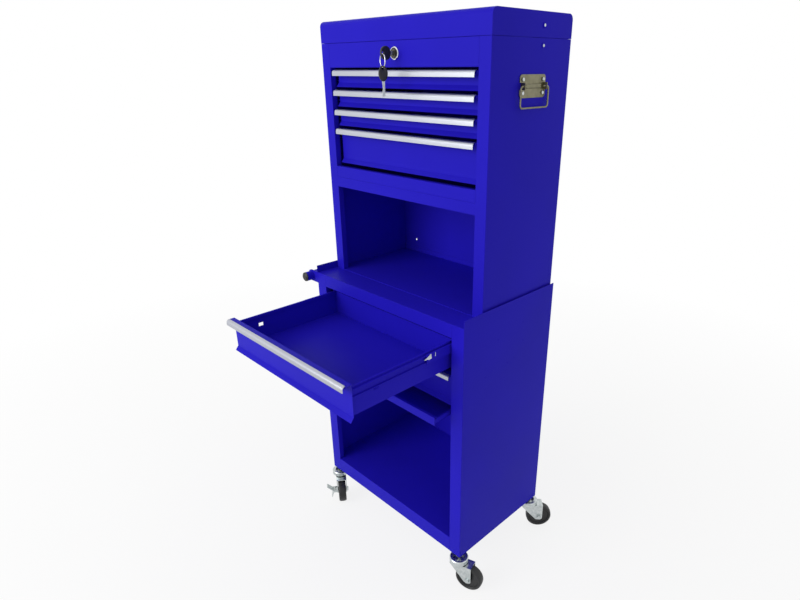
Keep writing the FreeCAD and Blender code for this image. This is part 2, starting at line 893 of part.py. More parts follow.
def brake_pedal(corner):
    """A two-winged pedal that rocks on its pin beside the fork and brakes the wheel."""
    name = "pedal_" + corner
    body = new_body(name)
    steel = D.wing_steel
    out = -D.pedal_sleeve_radius
    outline = [
        (out + steel, steel),
        (out - D.wing_up_reach + steel, D.wing_up_rise),
        (out - D.wing_up_reach, D.wing_up_rise - steel / 2),
        (out, 0),
        (out - D.wing_down_reach, -D.wing_down_drop),
        (out - D.wing_down_reach + steel, -D.wing_down_drop),
        (out + steel, -steel),
    ]
    width = D.pedal_half_width * 2
    pad(body, "YZ_Plane", outline, width, -D.pedal_half_width)
    sleeve = new_sketch(body, "YZ_Plane", -D.pedal_half_width)
    draw_circle(sleeve, 0, 0, D.pedal_sleeve_radius)
    tube = body.newObject("PartDesign::Pad", body.Name + "_sleeve")
    tube.Profile = sleeve
    bind(tube, "Length", width)
    bore = (0, 0, D.pedal_pin_radius + D.shaft_gap)
    cut(body, "YZ_Plane", width, -D.pedal_half_width, circles=[bore], backwards=True)
    across, back, yaw = caster_spot(corner)
    turned = Rotation(Vector(0, 0, 1), yaw.value)
    arm = turned.multVec(Vector(D.caster_trail.value, PEDAL_BACK.value, PEDAL_LEVEL.value))
    spot = (across + arm.x, back + arm.y, arm.z)
    keep("brake_" + name, body, spot, turned)


# Middle box and top chest


def wrap_path():
    """The plan of a box wrapper: stile returns, stiles, two sides and the back in one sheet."""
    inner = UP_FRONT + D.stile_return
    return [
        (-UP_OPEN, inner),
        (-UP_OPEN, UP_FRONT),
        (-UP_SIDE, UP_FRONT),
        (-UP_SIDE, UP_BACK),
        (UP_SIDE, UP_BACK),
        (UP_SIDE, UP_FRONT),
        (UP_OPEN, UP_FRONT),
        (UP_OPEN, inner),
    ]


def wrap_corners():
    return [(sign * UP_SIDE, back) for sign in (1, -1) for back in (UP_FRONT, UP_BACK)]


def middle_wrap():
    """The middle box's wrapper with its top rail across the front."""
    body = new_body("middle_wrap")
    pad(body, "XY_Plane", bent_strip(wrap_path(), D.steel, -1), D.mid_height, LOW_TOP)
    low = MID_TOP - D.mid_rail
    path = [(UP_FRONT + D.rail_return, low), (UP_FRONT, low), (UP_FRONT, MID_TOP)]
    pad(body, "YZ_Plane", bent_strip(path, D.steel, -1), UP_OPEN * 2, -UP_OPEN)
    hole = (-UP_SIDE + D.vent_hole_inset, LOW_TOP + D.vent_hole_rise, D.screw_hole_radius)
    cut(body, "XZ_Plane", D.steel * 3, -(UP_BACK + D.steel), circles=[hole], backwards=True)
    round_edges(body, D.bend_radius, along("z", *wrap_corners()))
    keep("middle_wrap", body)


def middle_floor():
    """The middle box's floor sheet with a low upstand along the back."""
    body = new_body("middle_floor")
    back = UP_BACK - D.steel
    wide = UP_SIDE - D.steel
    front = UP_FRONT + D.steel
    pad(body, "XY_Plane", notched_sheet(UP_OPEN, wide, front, back), D.steel, LOW_TOP)
    upstand = rectangle(-wide, back - D.steel, wide, back)
    pad(body, "XY_Plane", upstand, D.rear_flange, LOW_TOP)
    keep("middle_floor", body)


def chest_wrap():
    """The chest's wrapper, with the holes of the lid stays' rivets in its sides."""
    body = new_body("chest_wrap")
    pad(body, "XY_Plane", bent_strip(wrap_path(), D.steel, -1), D.chest_height, MID_TOP)
    round_edges(body, D.bend_radius, along("z", *wrap_corners()))
    rivet = (STAY_BACK, CHEST_TOP - D.stay_chest_drop, D.rivet_radius + D.shaft_gap)
    cut(body, "YZ_Plane", D.up_width, -UP_SIDE, circles=[rivet], backwards=True)
    keep("chest_wrap", body)


STAY_BACK = UP_BACK - D.stay_pivot_back


def chest_floor():
    """The chest's floor pan, its front edge turned up as the bottom rail."""
    body = new_body("chest_floor")
    narrow = UP_OPEN - D.seat_gap
    back = UP_BACK - D.steel
    path = [
        (UP_FRONT + D.rail_return, MID_TOP + D.chest_rail),
        (UP_FRONT, MID_TOP + D.chest_rail),
        (UP_FRONT, MID_TOP),
        (back, MID_TOP),
    ]
    pad(body, "YZ_Plane", bent_strip(path, D.steel, 1), narrow * 2, -narrow)
    floor = notched_sheet(UP_OPEN, UP_SIDE - D.steel, UP_FRONT, back)
    pad(body, "XY_Plane", floor, D.steel, MID_TOP)
    corners = [(UP_FRONT, MID_TOP), (UP_FRONT, MID_TOP + D.chest_rail)]
    round_edges(body, D.bend_radius, along("x", *corners))
    keep("chest_floor", body)


PANEL_LOW = CHEST_TOP - D.lock_panel
LOCK_LEVEL = CHEST_TOP - D.lock_drop


def chest_front_panel():
    """The fixed panel over the drawers that carries the lock."""
    body = new_body("chest_front_panel")
    narrow = UP_OPEN - D.seat_gap
    path = [
        (UP_FRONT + D.rail_return, PANEL_LOW),
        (UP_FRONT, PANEL_LOW),
        (UP_FRONT, CHEST_TOP),
        (UP_FRONT + D.panel_hem, CHEST_TOP),
    ]
    pad(body, "YZ_Plane", bent_strip(path, D.steel, -1), narrow * 2, -narrow)
    hole = (0, LOCK_LEVEL, D.lock_barrel_radius + D.shaft_gap)
    level = -(UP_FRONT + D.steel * 2)
    cut(body, "XZ_Plane", D.steel * 3, level, circles=[hole], backwards=True)
    corners = [(UP_FRONT, PANEL_LOW), (UP_FRONT, CHEST_TOP)]
    round_edges(body, D.bend_radius, along("x", *corners))
    keep("chest_front_panel", body)


def till_floor():
    """The floor of the compartment under the lid, flanged up along the back."""
    body = new_body("till_floor")
    back = UP_BACK - D.steel
    wide = UP_SIDE - D.steel
    floor = notched_sheet(UP_OPEN, wide, UP_FRONT + D.steel, back)
    pad(body, "XY_Plane", floor, D.steel, PANEL_LOW - D.steel)
    upstand = rectangle(-wide, back - D.steel, wide, back)
    pad(body, "XY_Plane", upstand, D.till_flange, PANEL_LOW - D.steel)
    keep("till_floor", body)


# Lid, its hinge and its stays

HINGE_BACK = UP_BACK + D.knuckle_radius + D.seat_gap
HINGE_LEVEL = CHEST_TOP + D.lid_gap / 2


def lid():
    """The lid: a pan with rounded front and rear edges, open below."""
    body = new_body("lid")
    outline = rectangle(UP_FRONT, LID_LOW, UP_BACK, LID_TOP)
    pad(body, "YZ_Plane", outline, D.up_width, -UP_SIDE)
    corners = [(UP_FRONT, LID_TOP), (UP_BACK, LID_TOP)]
    round_edges(body, D.lid_round, along("x", *corners))
    doc.recompute()
    solid = body.Tip
    floor = min(
        range(len(solid.Shape.Faces)),
        key=lambda index: solid.Shape.Faces[index].CenterOfMass.z,
    )
    shell = body.newObject("PartDesign::Thickness", "lid_shell")
    shell.Base = (solid, [f"Face{floor + 1}"])
    bind(shell, "Value", D.steel)
    shell.Reversed = True
    shell.Join = 1
    rivet = (STAY_BACK, CHEST_TOP + D.stay_lid_rise, D.rivet_radius + D.shaft_gap)
    cut(body, "YZ_Plane", D.up_width, -UP_SIDE, circles=[rivet], backwards=True)
    keep("lid", body)


def hinge_leaf(label, facing, first, count, with_pin):
    """One leaf of the piano hinge: a plate, its share of the knuckles and the bore for the pin."""
    body = new_body(label)
    start = -D.hinge_length / 2
    pitch = D.hinge_length / D.knuckle_count
    long = pitch - D.seat_gap
    steel = D.steel
    edge = facing * (D.knuckle_radius + D.seat_gap)
    face = -D.knuckle_radius - D.seat_gap
    plate = rectangle(face, edge, face + steel, facing * D.hinge_leaf)
    pad(body, "YZ_Plane", plate, D.hinge_length, start)
    knuckle_start = start + pitch * first
    tab = pad(body, "YZ_Plane", rectangle(face, 0, face + steel, edge), long, knuckle_start)
    ring = new_sketch(body, "YZ_Plane", knuckle_start)
    draw_circle(ring, 0, 0, D.knuckle_radius)
    knuckle = body.newObject("PartDesign::Pad", body.Name + "_knuckle")
    knuckle.Profile = ring
    bind(knuckle, "Length", long)
    doc.recompute()
    row = body.newObject("PartDesign::LinearPattern", body.Name + "_row")
    row.Originals = [tab, knuckle]
    along_x = next(item for item in body.Origin.OriginFeatures if item.Role == "X_Axis")
    row.Direction = (along_x, [""])
    bind(row, "Length", pitch * 2 * (count - 1))
    row.Occurrences = count
    body.Tip = row
    bore = (0, 0, D.hinge_pin_radius + D.shaft_gap)
    cut(body, "YZ_Plane", D.hinge_length, start, circles=[bore], backwards=True)
    piece = body
    if with_pin:
        pin = rod("hinge_pin", "x", (start, 0, 0), D.hinge_pin_radius, D.hinge_length)
        piece = group(label + "_group", [body, pin])
    keep(label, piece, (0, HINGE_BACK, HINGE_LEVEL))


def knee_point():
    """Where the two links of a stay meet with the lid closed, from a triangle of equal sides."""
    low = Vector(0, STAY_BACK.value, CHEST_TOP.value - D.stay_chest_drop.value)
    high = Vector(0, STAY_BACK.value, CHEST_TOP.value + D.stay_lid_rise.value)
    half = (high.z - low.z) / 2
    reach = math.sqrt(D.stay_length.value**2 - half**2)
    return low, high, Vector(0, STAY_BACK.value - reach, low.z + half)


def stay_link(label, sign, inner, pivot, knee):
    """One link of a lid stay, with the rivet that it turns on through the side wall."""
    body = new_body(label)
    half = D.stay_width / 2
    outline = rectangle(-half, -half, half, D.stay_length + half)
    level = inner if sign > 0 else -(inner + D.stay_steel)
    pad(body, "YZ_Plane", outline, D.stay_steel, level)
    corners = [(across, up) for across in (-half, half) for up in (-half, D.stay_length + half)]
    round_edges(body, D.stay_round, along("x", *corners))
    start = inner if sign > 0 else -(UP_SIDE + D.rivet_head)
    shank = new_sketch(body, "YZ_Plane", start)
    draw_circle(shank, 0, 0, D.rivet_radius)
    pin = body.newObject("PartDesign::Pad", body.Name + "_shank")
    pin.Profile = shank
    bind(pin, "Length", UP_SIDE + D.rivet_head - inner)
    cap_start = UP_SIDE + D.rivet_stand if sign > 0 else -(UP_SIDE + D.rivet_head)
    cap = new_sketch(body, "YZ_Plane", cap_start)
    draw_circle(cap, 0, 0, D.rivet_head_radius)
    head = body.newObject("PartDesign::Pad", body.Name + "_head")
    head.Profile = cap
    bind(head, "Length", D.rivet_head - D.rivet_stand)
    turned = Rotation(Vector(0, 0, 1), knee - pivot)
    keep(label, body, (0, pivot.y, pivot.z), turned)


def lid_stays():
    """Two folding stays, one inside each side wall; the links lie side by side at the knee."""
    low, high, knee = knee_point()
    outer = UP_SIDE - D.steel - D.seat_gap - D.stay_steel
    inner = outer - D.seat_gap - D.stay_steel
    for sign, side in ((1, "right"), (-1, "left")):
        stay_link(f"stay_lower_{side}", sign, outer, low, knee)
        stay_link(f"stay_upper_{side}", sign, inner, high, knee)


# Drawers, their pulls and their runners


def drawer_pan_path(half, low, top, hooked):
    """The front view of a drawer's folded box, with hooked or hemmed top edges."""
    if hooked:
        out = half + D.hook_gap
        right = [(out, top - D.hook_drop), (out, top), (half, top), (half, low)]
    else:
        hem = half - D.wall_hem_width
        right = [(hem, top - D.wall_hem_drop), (hem, top), (half, top), (half, low)]
    return right + [(-across, up) for across, up in right[::-1]]


def drawer_box(label, face_height, depth, hooked, at, slotted):
    """A drawer: folded box, back wall and a face with a flared lip and a ledge for the pull."""
    body = new_body(label)
    steel = D.steel
    flare = D.lip_flare
    lip = D.lip_height
    ledge = D.ledge_depth
    face = [
        (-flare, 0),
        (0, lip),
        (0, face_height - steel),
        (-ledge + steel, face_height - steel),
        (-ledge + steel, face_height - D.ledge_hem),
        (-ledge, face_height - D.ledge_hem),
        (-ledge, face_height),
        (steel, face_height),
        (steel, lip),
        (-flare + D.lip_foot, 0),
    ]
    half_face = D.drawer_half_width
    pad(body, "YZ_Plane", face, half_face * 2, -half_face)
    top = face_height - D.box_top_drop
    path = drawer_pan_path(D.box_half_width, lip, top, hooked)
    pad(body, "XZ_Plane", bent_strip(path, steel, -1), depth - steel, -depth)
    inside = D.box_half_width - steel
    back = rectangle(-inside, lip, inside, top - steel * 2)
    pad(body, "XZ_Plane", back, steel, -depth)
    if slotted:
        start = steel + D.catch_slot_back
        middle = face_height - D.slide_drop - D.slide_inner_half - D.catch_slot_height
        slot = rectangle(start, middle, start + D.catch_slot_length, middle + D.catch_slot_height)
        across = D.box_half_width * 2
        cut(body, "YZ_Plane", across, -D.box_half_width, [slot], backwards=True)
    round_edges(body, D.bend_radius, along("x", (-ledge, face_height)))
    piece = body
    if not hooked:
        runners = [slide_inner(label, sign, face_height) for sign in (1, -1)]
        piece = group(label + "_group", [body] + runners)
    keep(label, piece, at)


def slide_inner(label, sign, face_height):
    """The channel fixed to a lower drawer's wall, the innermost member of its slide."""
    body = new_body(f"{label}_runner_{'right' if sign > 0 else 'left'}")
    centre = face_height - D.slide_drop
    near = D.box_half_width
    far = near + D.slide_inner_reach
    half = D.slide_inner_half
    path = [
        (sign * far, centre + half),
        (sign * near, centre + half),
        (sign * near, centre - half),
        (sign * far, centre - half),
    ]
    start = D.steel + D.seat_gap
    outline = bent_strip(path, D.slide_steel, sign)
    pad(body, "XZ_Plane", outline, D.slide_inner_length, -(start + D.slide_inner_length))
    return body


def drawer_pull(label, face_height, at):
    """An aluminium pull, a quarter round clipped over the ledge's front edge."""
    wall = D.pull_wall
    top = face_height + wall
    middle = -D.ledge_depth
    front = middle - D.pull_round
    level = top - D.pull_round
    inner = D.pull_round - wall
    body = new_body(label)
    sketch = new_sketch(body, "YZ_Plane", -D.pull_half_width)
    back = middle + D.ledge_hem
    foot = top - D.pull_height
    corners = [
        ((back, face_height), (back, top)),
        ((back, top), (middle, top)),
        ((middle, top), (front, level)),
        ((front, level), (front, foot)),
        ((front, foot), (front + wall, foot)),
        ((front + wall, foot), (front + wall, level)),
        ((front + wall, level), (middle, face_height)),
        ((middle, face_height), (back, face_height)),
    ]
    arcs = {2: D.pull_round, 6: inner}
    for index, (start, end) in enumerate(corners):
        first = Vector(start[0].value, start[1].value, 0)
        last = Vector(end[0].value, end[1].value, 0)
        if index in arcs:
            circle = Part.Circle(Vector(middle.value, level.value, 0), Vector(0, 0, 1), arcs[index].value)
            sketch.addGeometry(Part.ArcOfCircle(circle, math.pi / 2, math.pi), False)
        else:
            sketch.addGeometry(Part.LineSegment(first, last), False)
    starts = {2: 1, 6: 2}
    count = len(corners)
    for index in range(count):
        after = (index + 1) % count
        leaves = 1 if index == 6 else 2
        enters = 2 if after == 6 else 1
        sketch.addConstraint(Sketcher.Constraint("Coincident", index, leaves, after, enters))
    for index, (start, _) in enumerate(corners):
        tie_point(sketch, index, starts.get(index, 1), *start)
    for index, radius in arcs.items():
        number = sketch.addConstraint(Sketcher.Constraint("Radius", index, radius.value))
        sketch.setExpression(f"Constraints[{number}]", radius.text)
    slab = body.newObject("PartDesign::Pad", body.Name + "_pad")
    slab.Profile = sketch
    bind(slab, "Length", D.pull_half_width * 2)
    keep(label, body, at)


def hook_rail(name, sign, wall, top, start, end):
    """A fixed rail: a flange on the cabinet's wall, a web and the lip that a drawer hooks over."""
    body = new_body(name)
    lip = D.box_half_width + D.rail_lip_gap
    lip_top = top - D.seat_gap
    web = lip_top - D.rail_web_drop
    path = [
        (sign * wall, web + D.rail_flange),
        (sign * wall, web),
        (sign * lip, web),
        (sign * lip, lip_top),
    ]
    outline = bent_strip(path, D.steel, -sign)
    pad(body, "XZ_Plane", outline, end - start, -end)
    return body


LOWER_DRAWERS = {"drawer_6": 0, "drawer_5": 1}
THIN_DRAWERS = {"drawer_3": 0, "drawer_2": 1, "drawer_1": 2}
# The thin drawers hang from the lock's panel, and the deep one takes what is left below them
THIN_LOW = PANEL_LOW - D.panel_gap - D.thin_face - D.thin_pitch * THIN_DRAWERS["drawer_1"]
DEEP_LOW = MID_TOP + D.deep_lip
DEEP_FACE = THIN_LOW - D.drawer_gap - DEEP_LOW
UP_FACE_BACK = UP_FRONT + D.drawer_recess
TRAY_LOW = LOW_TOP - D.tray_drop


def lower_lip(name):
    return LOW_TOP - D.low_lip_drop + D.low_pitch * LOWER_DRAWERS[name]


def slide_centre(name):
    return lower_lip(name) + D.low_face - D.slide_drop


def slide_channel(name, sign, reach, half, length, start, level):
    """A plain channel that opens towards the drawer, for a slide's middle and outer members."""
    body = new_body(name)
    near = D.box_half_width + reach[0]
    far = D.box_half_width + reach[1]
    path = [
        (sign * near, level + half),
        (sign * far, level + half),
        (sign * far, level - half),
        (sign * near, level - half),
    ]
    outline = bent_strip(path, D.slide_steel, -sign)
    pad(body, "XZ_Plane", outline, length, -(start + length))
    return body


def lower_drawers():
    """The two deep lower drawers; the upper one stands open at rest."""
    for name in LOWER_DRAWERS:
        out = D.low_travel if name == "drawer_5" else as_size(0)
        at = (0, D.drawer_recess - out, lower_lip(name))
        drawer_box(name + "_box", D.low_face, D.low_box_depth, False, at, True)
        drawer_pull(name + "_pull", D.low_face, at)
        level = D.low_face - D.slide_drop
        start = SLIDE_START + D.slide_middle_back - D.drawer_recess
        sides = [
            slide_channel(
                f"{name}_middle_{sign}",
                sign,
                MIDDLE_REACH,
                MIDDLE_HALF,
                D.slide_middle_length,
                start,
                level,
            )
            for sign in (1, -1)
        ]
        half_out = (0, D.drawer_recess - out / 2, lower_lip(name))
        keep(name + "_slides", group(name + "_slides_group", sides), half_out)


SLIDE_START = D.drawer_recess + D.steel + D.seat_gap
SLIDE_STEP = D.slide_steel + D.slide_race_gap
MIDDLE_HALF = D.slide_inner_half + SLIDE_STEP
OUTER_HALF = MIDDLE_HALF + SLIDE_STEP
MIDDLE_REACH = (D.slide_middle_near, D.slide_inner_reach + SLIDE_STEP)
OUTER_REACH = (D.slide_outer_near, MIDDLE_REACH[1] + SLIDE_STEP)


def lower_slide_rails():
    """The fixed slide channels of the lower drawers, each on two hat straps to the side wall."""
    pieces = []
    for name in LOWER_DRAWERS:
        centre = slide_centre(name)
        for sign in (1, -1):
            title = f"{name}_outer_{sign}"
            length = D.slide_outer_length
            pieces.append(
                slide_channel(title, sign, OUTER_REACH, OUTER_HALF, length, SLIDE_START, centre)
            )
            ends = (
                SLIDE_START + D.strap_inset,
                SLIDE_START + length - D.strap_inset - D.strap_width,
            )
            for number, start in enumerate(ends):
                pieces.append(hat_strap(f"{title}_strap_{number}", sign, centre, start))
    keep("lower_slide_rails", group("lower_slide_rails_group", pieces))


def hat_strap(name, sign, centre, start):
    """A folded strap that holds a slide channel off the side wall."""
    body = new_body(name)
    wall = LOW_SIDE - D.steel
    web = D.box_half_width + OUTER_REACH[1] + D.steel
    half = D.strap_half
    foot = half + D.strap_foot
    path = [
        (sign * wall, centre + foot),
        (sign * wall, centre + half),
        (sign * web, centre + half),
        (sign * web, centre - half),
        (sign * wall, centre - half),
        (sign * wall, centre - foot),
    ]
    outline = bent_strip(path, D.steel, -sign)
    pad(body, "XZ_Plane", outline, D.strap_width, -(start + D.strap_width))
    return body


def chest_drawers():
    """Three thin drawers over one deep one, each hooked over its own pair of rails."""
    rails = []
    wall = UP_SIDE - D.steel
    start = UP_FACE_BACK + D.steel + D.seat_gap
    end = UP_BACK - D.steel - D.seat_gap
    lows = {name: THIN_LOW + D.thin_pitch * step for name, step in THIN_DRAWERS.items()}
    lows["drawer_4"] = DEEP_LOW
    for name in sorted(lows):
        face = DEEP_FACE if name == "drawer_4" else D.thin_face
        at = (0, UP_FACE_BACK, lows[name])
        drawer_box(name + "_box", face, D.up_box_depth, True, at, False)
        drawer_pull(name + "_pull", face, at)
        top = lows[name] + face - D.box_top_drop
        for sign in (1, -1):
            rails.append(hook_rail(f"{name}_rail_{sign}", sign, wall, top, start, end))
    keep("chest_rails", group("chest_rails_group", rails))


def pull_out_tray():
    """A shallow tray that slides out under the lower drawers, and its two rails."""
    label = "pull_out_tray"
    body = new_body(label)
    steel = D.steel
    lip = rectangle(0, 0, steel, D.tray_face)
    half_face = D.drawer_half_width
    pad(body, "YZ_Plane", lip, half_face * 2, -half_face)
    hem = bent_strip(
        [(0, D.tray_face), (D.wall_hem_width * 2, D.tray_face), (D.wall_hem_width * 2, D.tray_wall)],
        steel,
        -1,
    )
    pad(body, "YZ_Plane", hem, half_face * 2, -half_face)
    path = drawer_pan_path(D.box_half_width, 0, D.tray_wall, True)
    pad(body, "XZ_Plane", bent_strip(path, steel, -1), D.tray_depth - steel, -D.tray_depth)
    inside = D.box_half_width - steel
    back = rectangle(-inside, 0, inside, D.tray_wall)
    pad(body, "XZ_Plane", back, steel, -D.tray_depth)
    round_edges(body, D.bend_radius, along("x", (0, D.tray_face)))
    keep(label, body, (0, -D.tray_out, TRAY_LOW))
    wall = LOW_SIDE - D.steel
    start = D.stile_return + D.seat_gap
    end = LOW_BACK_FACE - D.steel - D.seat_gap
    top = TRAY_LOW + D.tray_wall
    rails = [hook_rail(f"tray_rail_{sign}", sign, wall, top, start, end) for sign in (1, -1)]
    keep("tray_rails", group("tray_rails_group", rails))


# Push bar

BAR_X = -(LOW_SIDE + D.bar_offset)
BAR_LEVEL = LOW_TOP - D.bar_drop


def push_bar():
    """The push bar on the left side: a tube in two bracket plates with a plug in each end."""
    start = (BAR_X, -D.bar_overhang, BAR_LEVEL)
    outer = rod("bar_outside", "y", start, D.bar_radius, D.bar_length)
    inner = rod("bar_inside", "y", start, D.bar_radius - D.bar_wall, D.bar_length)
    keep("push_bar_tube", minus("bar_tube", outer, inner))
    brackets = []
    for name, back, facing in (("front", 0, 1), ("rear", BAR_REAR, -1)):
        brackets.append(bar_bracket(name, back, facing))
    keep("push_bar_brackets", group("bar_brackets", brackets))
    plugs = [bar_plug("front", -D.bar_overhang, -1), bar_plug("rear", BAR_END, 1)]
    keep("push_bar_plugs", group("bar_plugs", plugs))


BAR_END = D.bar_length - D.bar_overhang
BAR_REAR = D.low_depth - D.rear_flange - D.bracket_flange - D.bracket_steel


def bar_bracket(name, back, facing):
    """A plate round the tube with a flange along the side wall."""
    body = new_body("bar_bracket_" + name)
    wall = -LOW_SIDE
    tip = BAR_X - D.bracket_reach
    low = BAR_LEVEL - D.bracket_reach
    high = BAR_LEVEL + D.bracket_reach
    hole = [(BAR_X, BAR_LEVEL, D.bar_radius + D.shaft_gap)]
    start = back if facing > 0 else back + D.bracket_flange
    outline = rectangle(tip, low, wall, high)
    pad(body, "XZ_Plane", outline, D.bracket_steel, -(start + D.bracket_steel), circles=hole)
    round_edges(body, D.bracket_round, along("y", (tip, low), (tip, high)))
    flange_back = start + D.bracket_flange if facing > 0 else start + D.bracket_steel
    flange = rectangle(wall - D.bracket_steel, low, wall, high)
    pad(body, "XZ_Plane", flange, D.bracket_flange, -flange_back)
    return body


def bar_plug(name, back, facing):
    """A bevelled plastic plug pushed into the tube's end."""
    body = new_body("bar_plug_" + name)
    radius = D.bar_radius
    neck = radius - D.bar_wall - D.shaft_gap
    outline = [
        (0, -D.bar_plug_insert),
        (neck, -D.bar_plug_insert),
        (neck, 0),
        (radius, 0),
        (radius, D.bar_plug_skirt),
        (radius - D.bar_plug_bevel, D.bar_plug),
        (0, D.bar_plug),
    ]
    turn_profile(body, "XZ_Plane", outline)
    body.Placement = Placement(Vector(), Rotation(Vector(0, 0, 1), Vector(0, facing, 0)))
    place_base(body, (BAR_X, back, BAR_LEVEL))
    return body


# Side handles

HANDLE_Y = UP_FRONT + D.handle_front
HANDLE_LEVEL = CHEST_TOP - D.handle_drop - D.handle_height / 2


def handle_plate(sign):
    """A pressed plate with four riveted lobes, a ridge and two ears turned out for the bail."""
    side = "right" if sign > 0 else "left"
    body = new_body("handle_" + side)
    steel = D.handle_steel
    length = D.handle_length
    half = D.handle_height / 2
    notch = D.handle_notch
    ear = D.handle_ear / 2
    level = 0 if sign > 0 else -steel
    outline = [
        (0, -half),
        (length, -half),
        (length, -ear),
        (length - notch, -ear),
        (length - notch, ear),
        (length, ear),
        (length, half),
        (0, half),
        (0, ear),
        (notch, ear),
        (notch, -ear),
        (0, -ear),
    ]
    pad(body, "YZ_Plane", outline, steel, level)
    reach = D.handle_ear_reach
    start = 0 if sign > 0 else -reach
    for back in (notch, length - notch - steel):
        tab = rectangle(back, -ear, back + steel, ear)
        pad(body, "YZ_Plane", tab, reach, start)
    bore = (sign * D.bail_stand, 0, D.bail_wire_radius + D.shaft_gap)
    cut(body, "XZ_Plane", length, -length, circles=[bore], backwards=True)
    corners = [(back, up) for back in (0, length) for up in (-half, half)]
    round_edges(body, D.handle_round, along("x", *corners))
    ridge_start = notch + steel + D.bail_hook
    ridge = rod(
        "handle_ridge_" + side,
        "y",
        (0, ridge_start, 0),
        D.handle_ridge_radius + steel,
        length - ridge_start * 2,
    )
    clip_low = (0, 0, -half) if sign > 0 else (-half, 0, -half)
    clip_high = (half, length, half) if sign > 0 else (0, length, half)
    ridge_half = doc.addObject("Part::Common", "handle_ridge_half_" + side)
    ridge_half.Base = ridge
    ridge_half.Tool = block("handle_clip_" + side, clip_low, clip_high)
    plate = joined("handle_plate_" + side, [body, ridge_half])
    plate.Placement = Placement(Vector(0, 0, 0), Rotation())
    place_base(plate, (sign * UP_SIDE, HANDLE_Y, HANDLE_LEVEL))
    rivets = []
    inset = D.handle_rivet_inset
    for number, (back, up) in enumerate(
        (back, up) for back in (inset, length - inset) for up in (-half + inset, half - inset)
    ):
        face = sign * (UP_SIDE + steel)
        across = face if sign > 0 else face - D.rivet_head
        at = (across, HANDLE_Y + back, HANDLE_LEVEL + up)
        name = f"handle_rivet_{side}_{number}"
        rivets.append(rod(name, "x", at, D.handle_rivet_radius, D.rivet_head))
    return [plate] + rivets


def round_bar(points, radius, corner):
    """A bent wire through the points with equal rounded corners, as one swept solid."""
    edges = []
    start = points[0]
    for before, point, after in zip(points, points[1:], points[2:]):
        towards = (before - point).normalize()
        onwards = (after - point).normalize()
        first = point + towards * corner
        last = point + onwards * corner
        centre = point + (towards + onwards) * corner
        middle = centre + (point - centre).normalize() * corner
        edges.append(Part.LineSegment(start, first).toShape())
        edges.append(Part.Arc(first, middle, last).toShape())
        start = last
    edges.append(Part.LineSegment(start, points[-1]).toShape())
    spine = Part.Wire(edges)
    direction = points[1] - points[0]
    section = Part.Wire([Part.Circle(points[0], direction, radius).toShape()])
    return spine.makePipeShell([section], True, False)


def bail(sign):
    """The wire bail of a side handle, its ends turned in through the plate's ears."""
    side = "right" if sign > 0 else "left"
    hook = D.bail_hook.value
    out = -D.bail_side.value
    low = -D.bail_drop.value
    far = D.handle_length.value - out
    inner = D.handle_notch.value + hook
    points = [
        Vector(0, inner, 0),
        Vector(0, out, 0),
        Vector(0, out, low),
        Vector(0, far, low),
        Vector(0, far, 0),
        Vector(0, D.handle_length.value - inner, 0),
    ]
    wire = doc.addObject("Part::Feature", "bail_wire_" + side)
    wire.Shape = round_bar(points, D.bail_wire_radius.value, D.bail_corner.value)
    keep("bail_" + side, wire, (sign * (UP_SIDE + D.bail_stand), HANDLE_Y, HANDLE_LEVEL))


# Lock and keys


def lock_housing():
    """The lock's flanged barrel and the nut that clamps it behind the panel."""
    barrel_end = D.steel + D.lock_barrel
    body = new_body("lock_barrel")
    outline = [
        (D.plug_radius + D.shaft_gap, -D.lock_flange),
        (D.lock_flange_radius - D.steel, -D.lock_flange),
        (D.lock_flange_radius, -D.lock_flange + D.steel),
        (D.lock_flange_radius, 0),
        (D.lock_barrel_radius, 0),
        (D.lock_barrel_radius, barrel_end),
        (D.plug_radius + D.shaft_gap, barrel_end),
    ]
    turn_profile(body, "XZ_Plane", outline)
    body.Placement = Placement(Vector(), AXIS_TURNS["y"])
    solid = hexagon("lock_nut_blank", "y", (0, D.steel, 0), D.lock_nut_radius, D.lock_nut)
    bore = rod("lock_nut_bore", "y", (0, D.steel, 0), D.lock_barrel_radius, D.lock_nut)
    nut = minus("lock_nut_solid", solid, bore)
    keep("lock_housing", group("lock_housing_group", [body, nut]), (0, UP_FRONT, LOCK_LEVEL))


CAM_START = D.steel + D.lock_barrel + D.seat_gap


def lock_plug():
    """The plug that the key turns, its keyway and the cam at its rear end."""
    body = new_body("lock_plug")
    front = -(D.lock_flange + D.plug_proud)
    face = new_sketch(body, "XZ_Plane", -(CAM_START + D.cam_steel))
    draw_circle(face, 0, 0, D.plug_radius)
    core = body.newObject("PartDesign::Pad", "plug_core")
    core.Profile = face
    bind(core, "Length", CAM_START + D.cam_steel - front)
    half = D.cam_half_width
    tongue = rectangle(-half, 0, half, D.cam_length)
    pad(body, "XZ_Plane", tongue, D.cam_steel, -(CAM_START + D.cam_steel))
    slack = D.shaft_gap
    across = D.key_blade_steel / 2 + slack
    tall = D.key_blade_half + slack
    slot = rectangle(-across, -tall, across, tall)
    cut(body, "XZ_Plane", D.key_insert + slack, -front, [slot], backwards=False)
    round_edges(body, half * 0.8, along("y", (-half, D.cam_length), (half, D.cam_length)))
    keep("lock_plug", body, (0, UP_FRONT, LOCK_LEVEL))


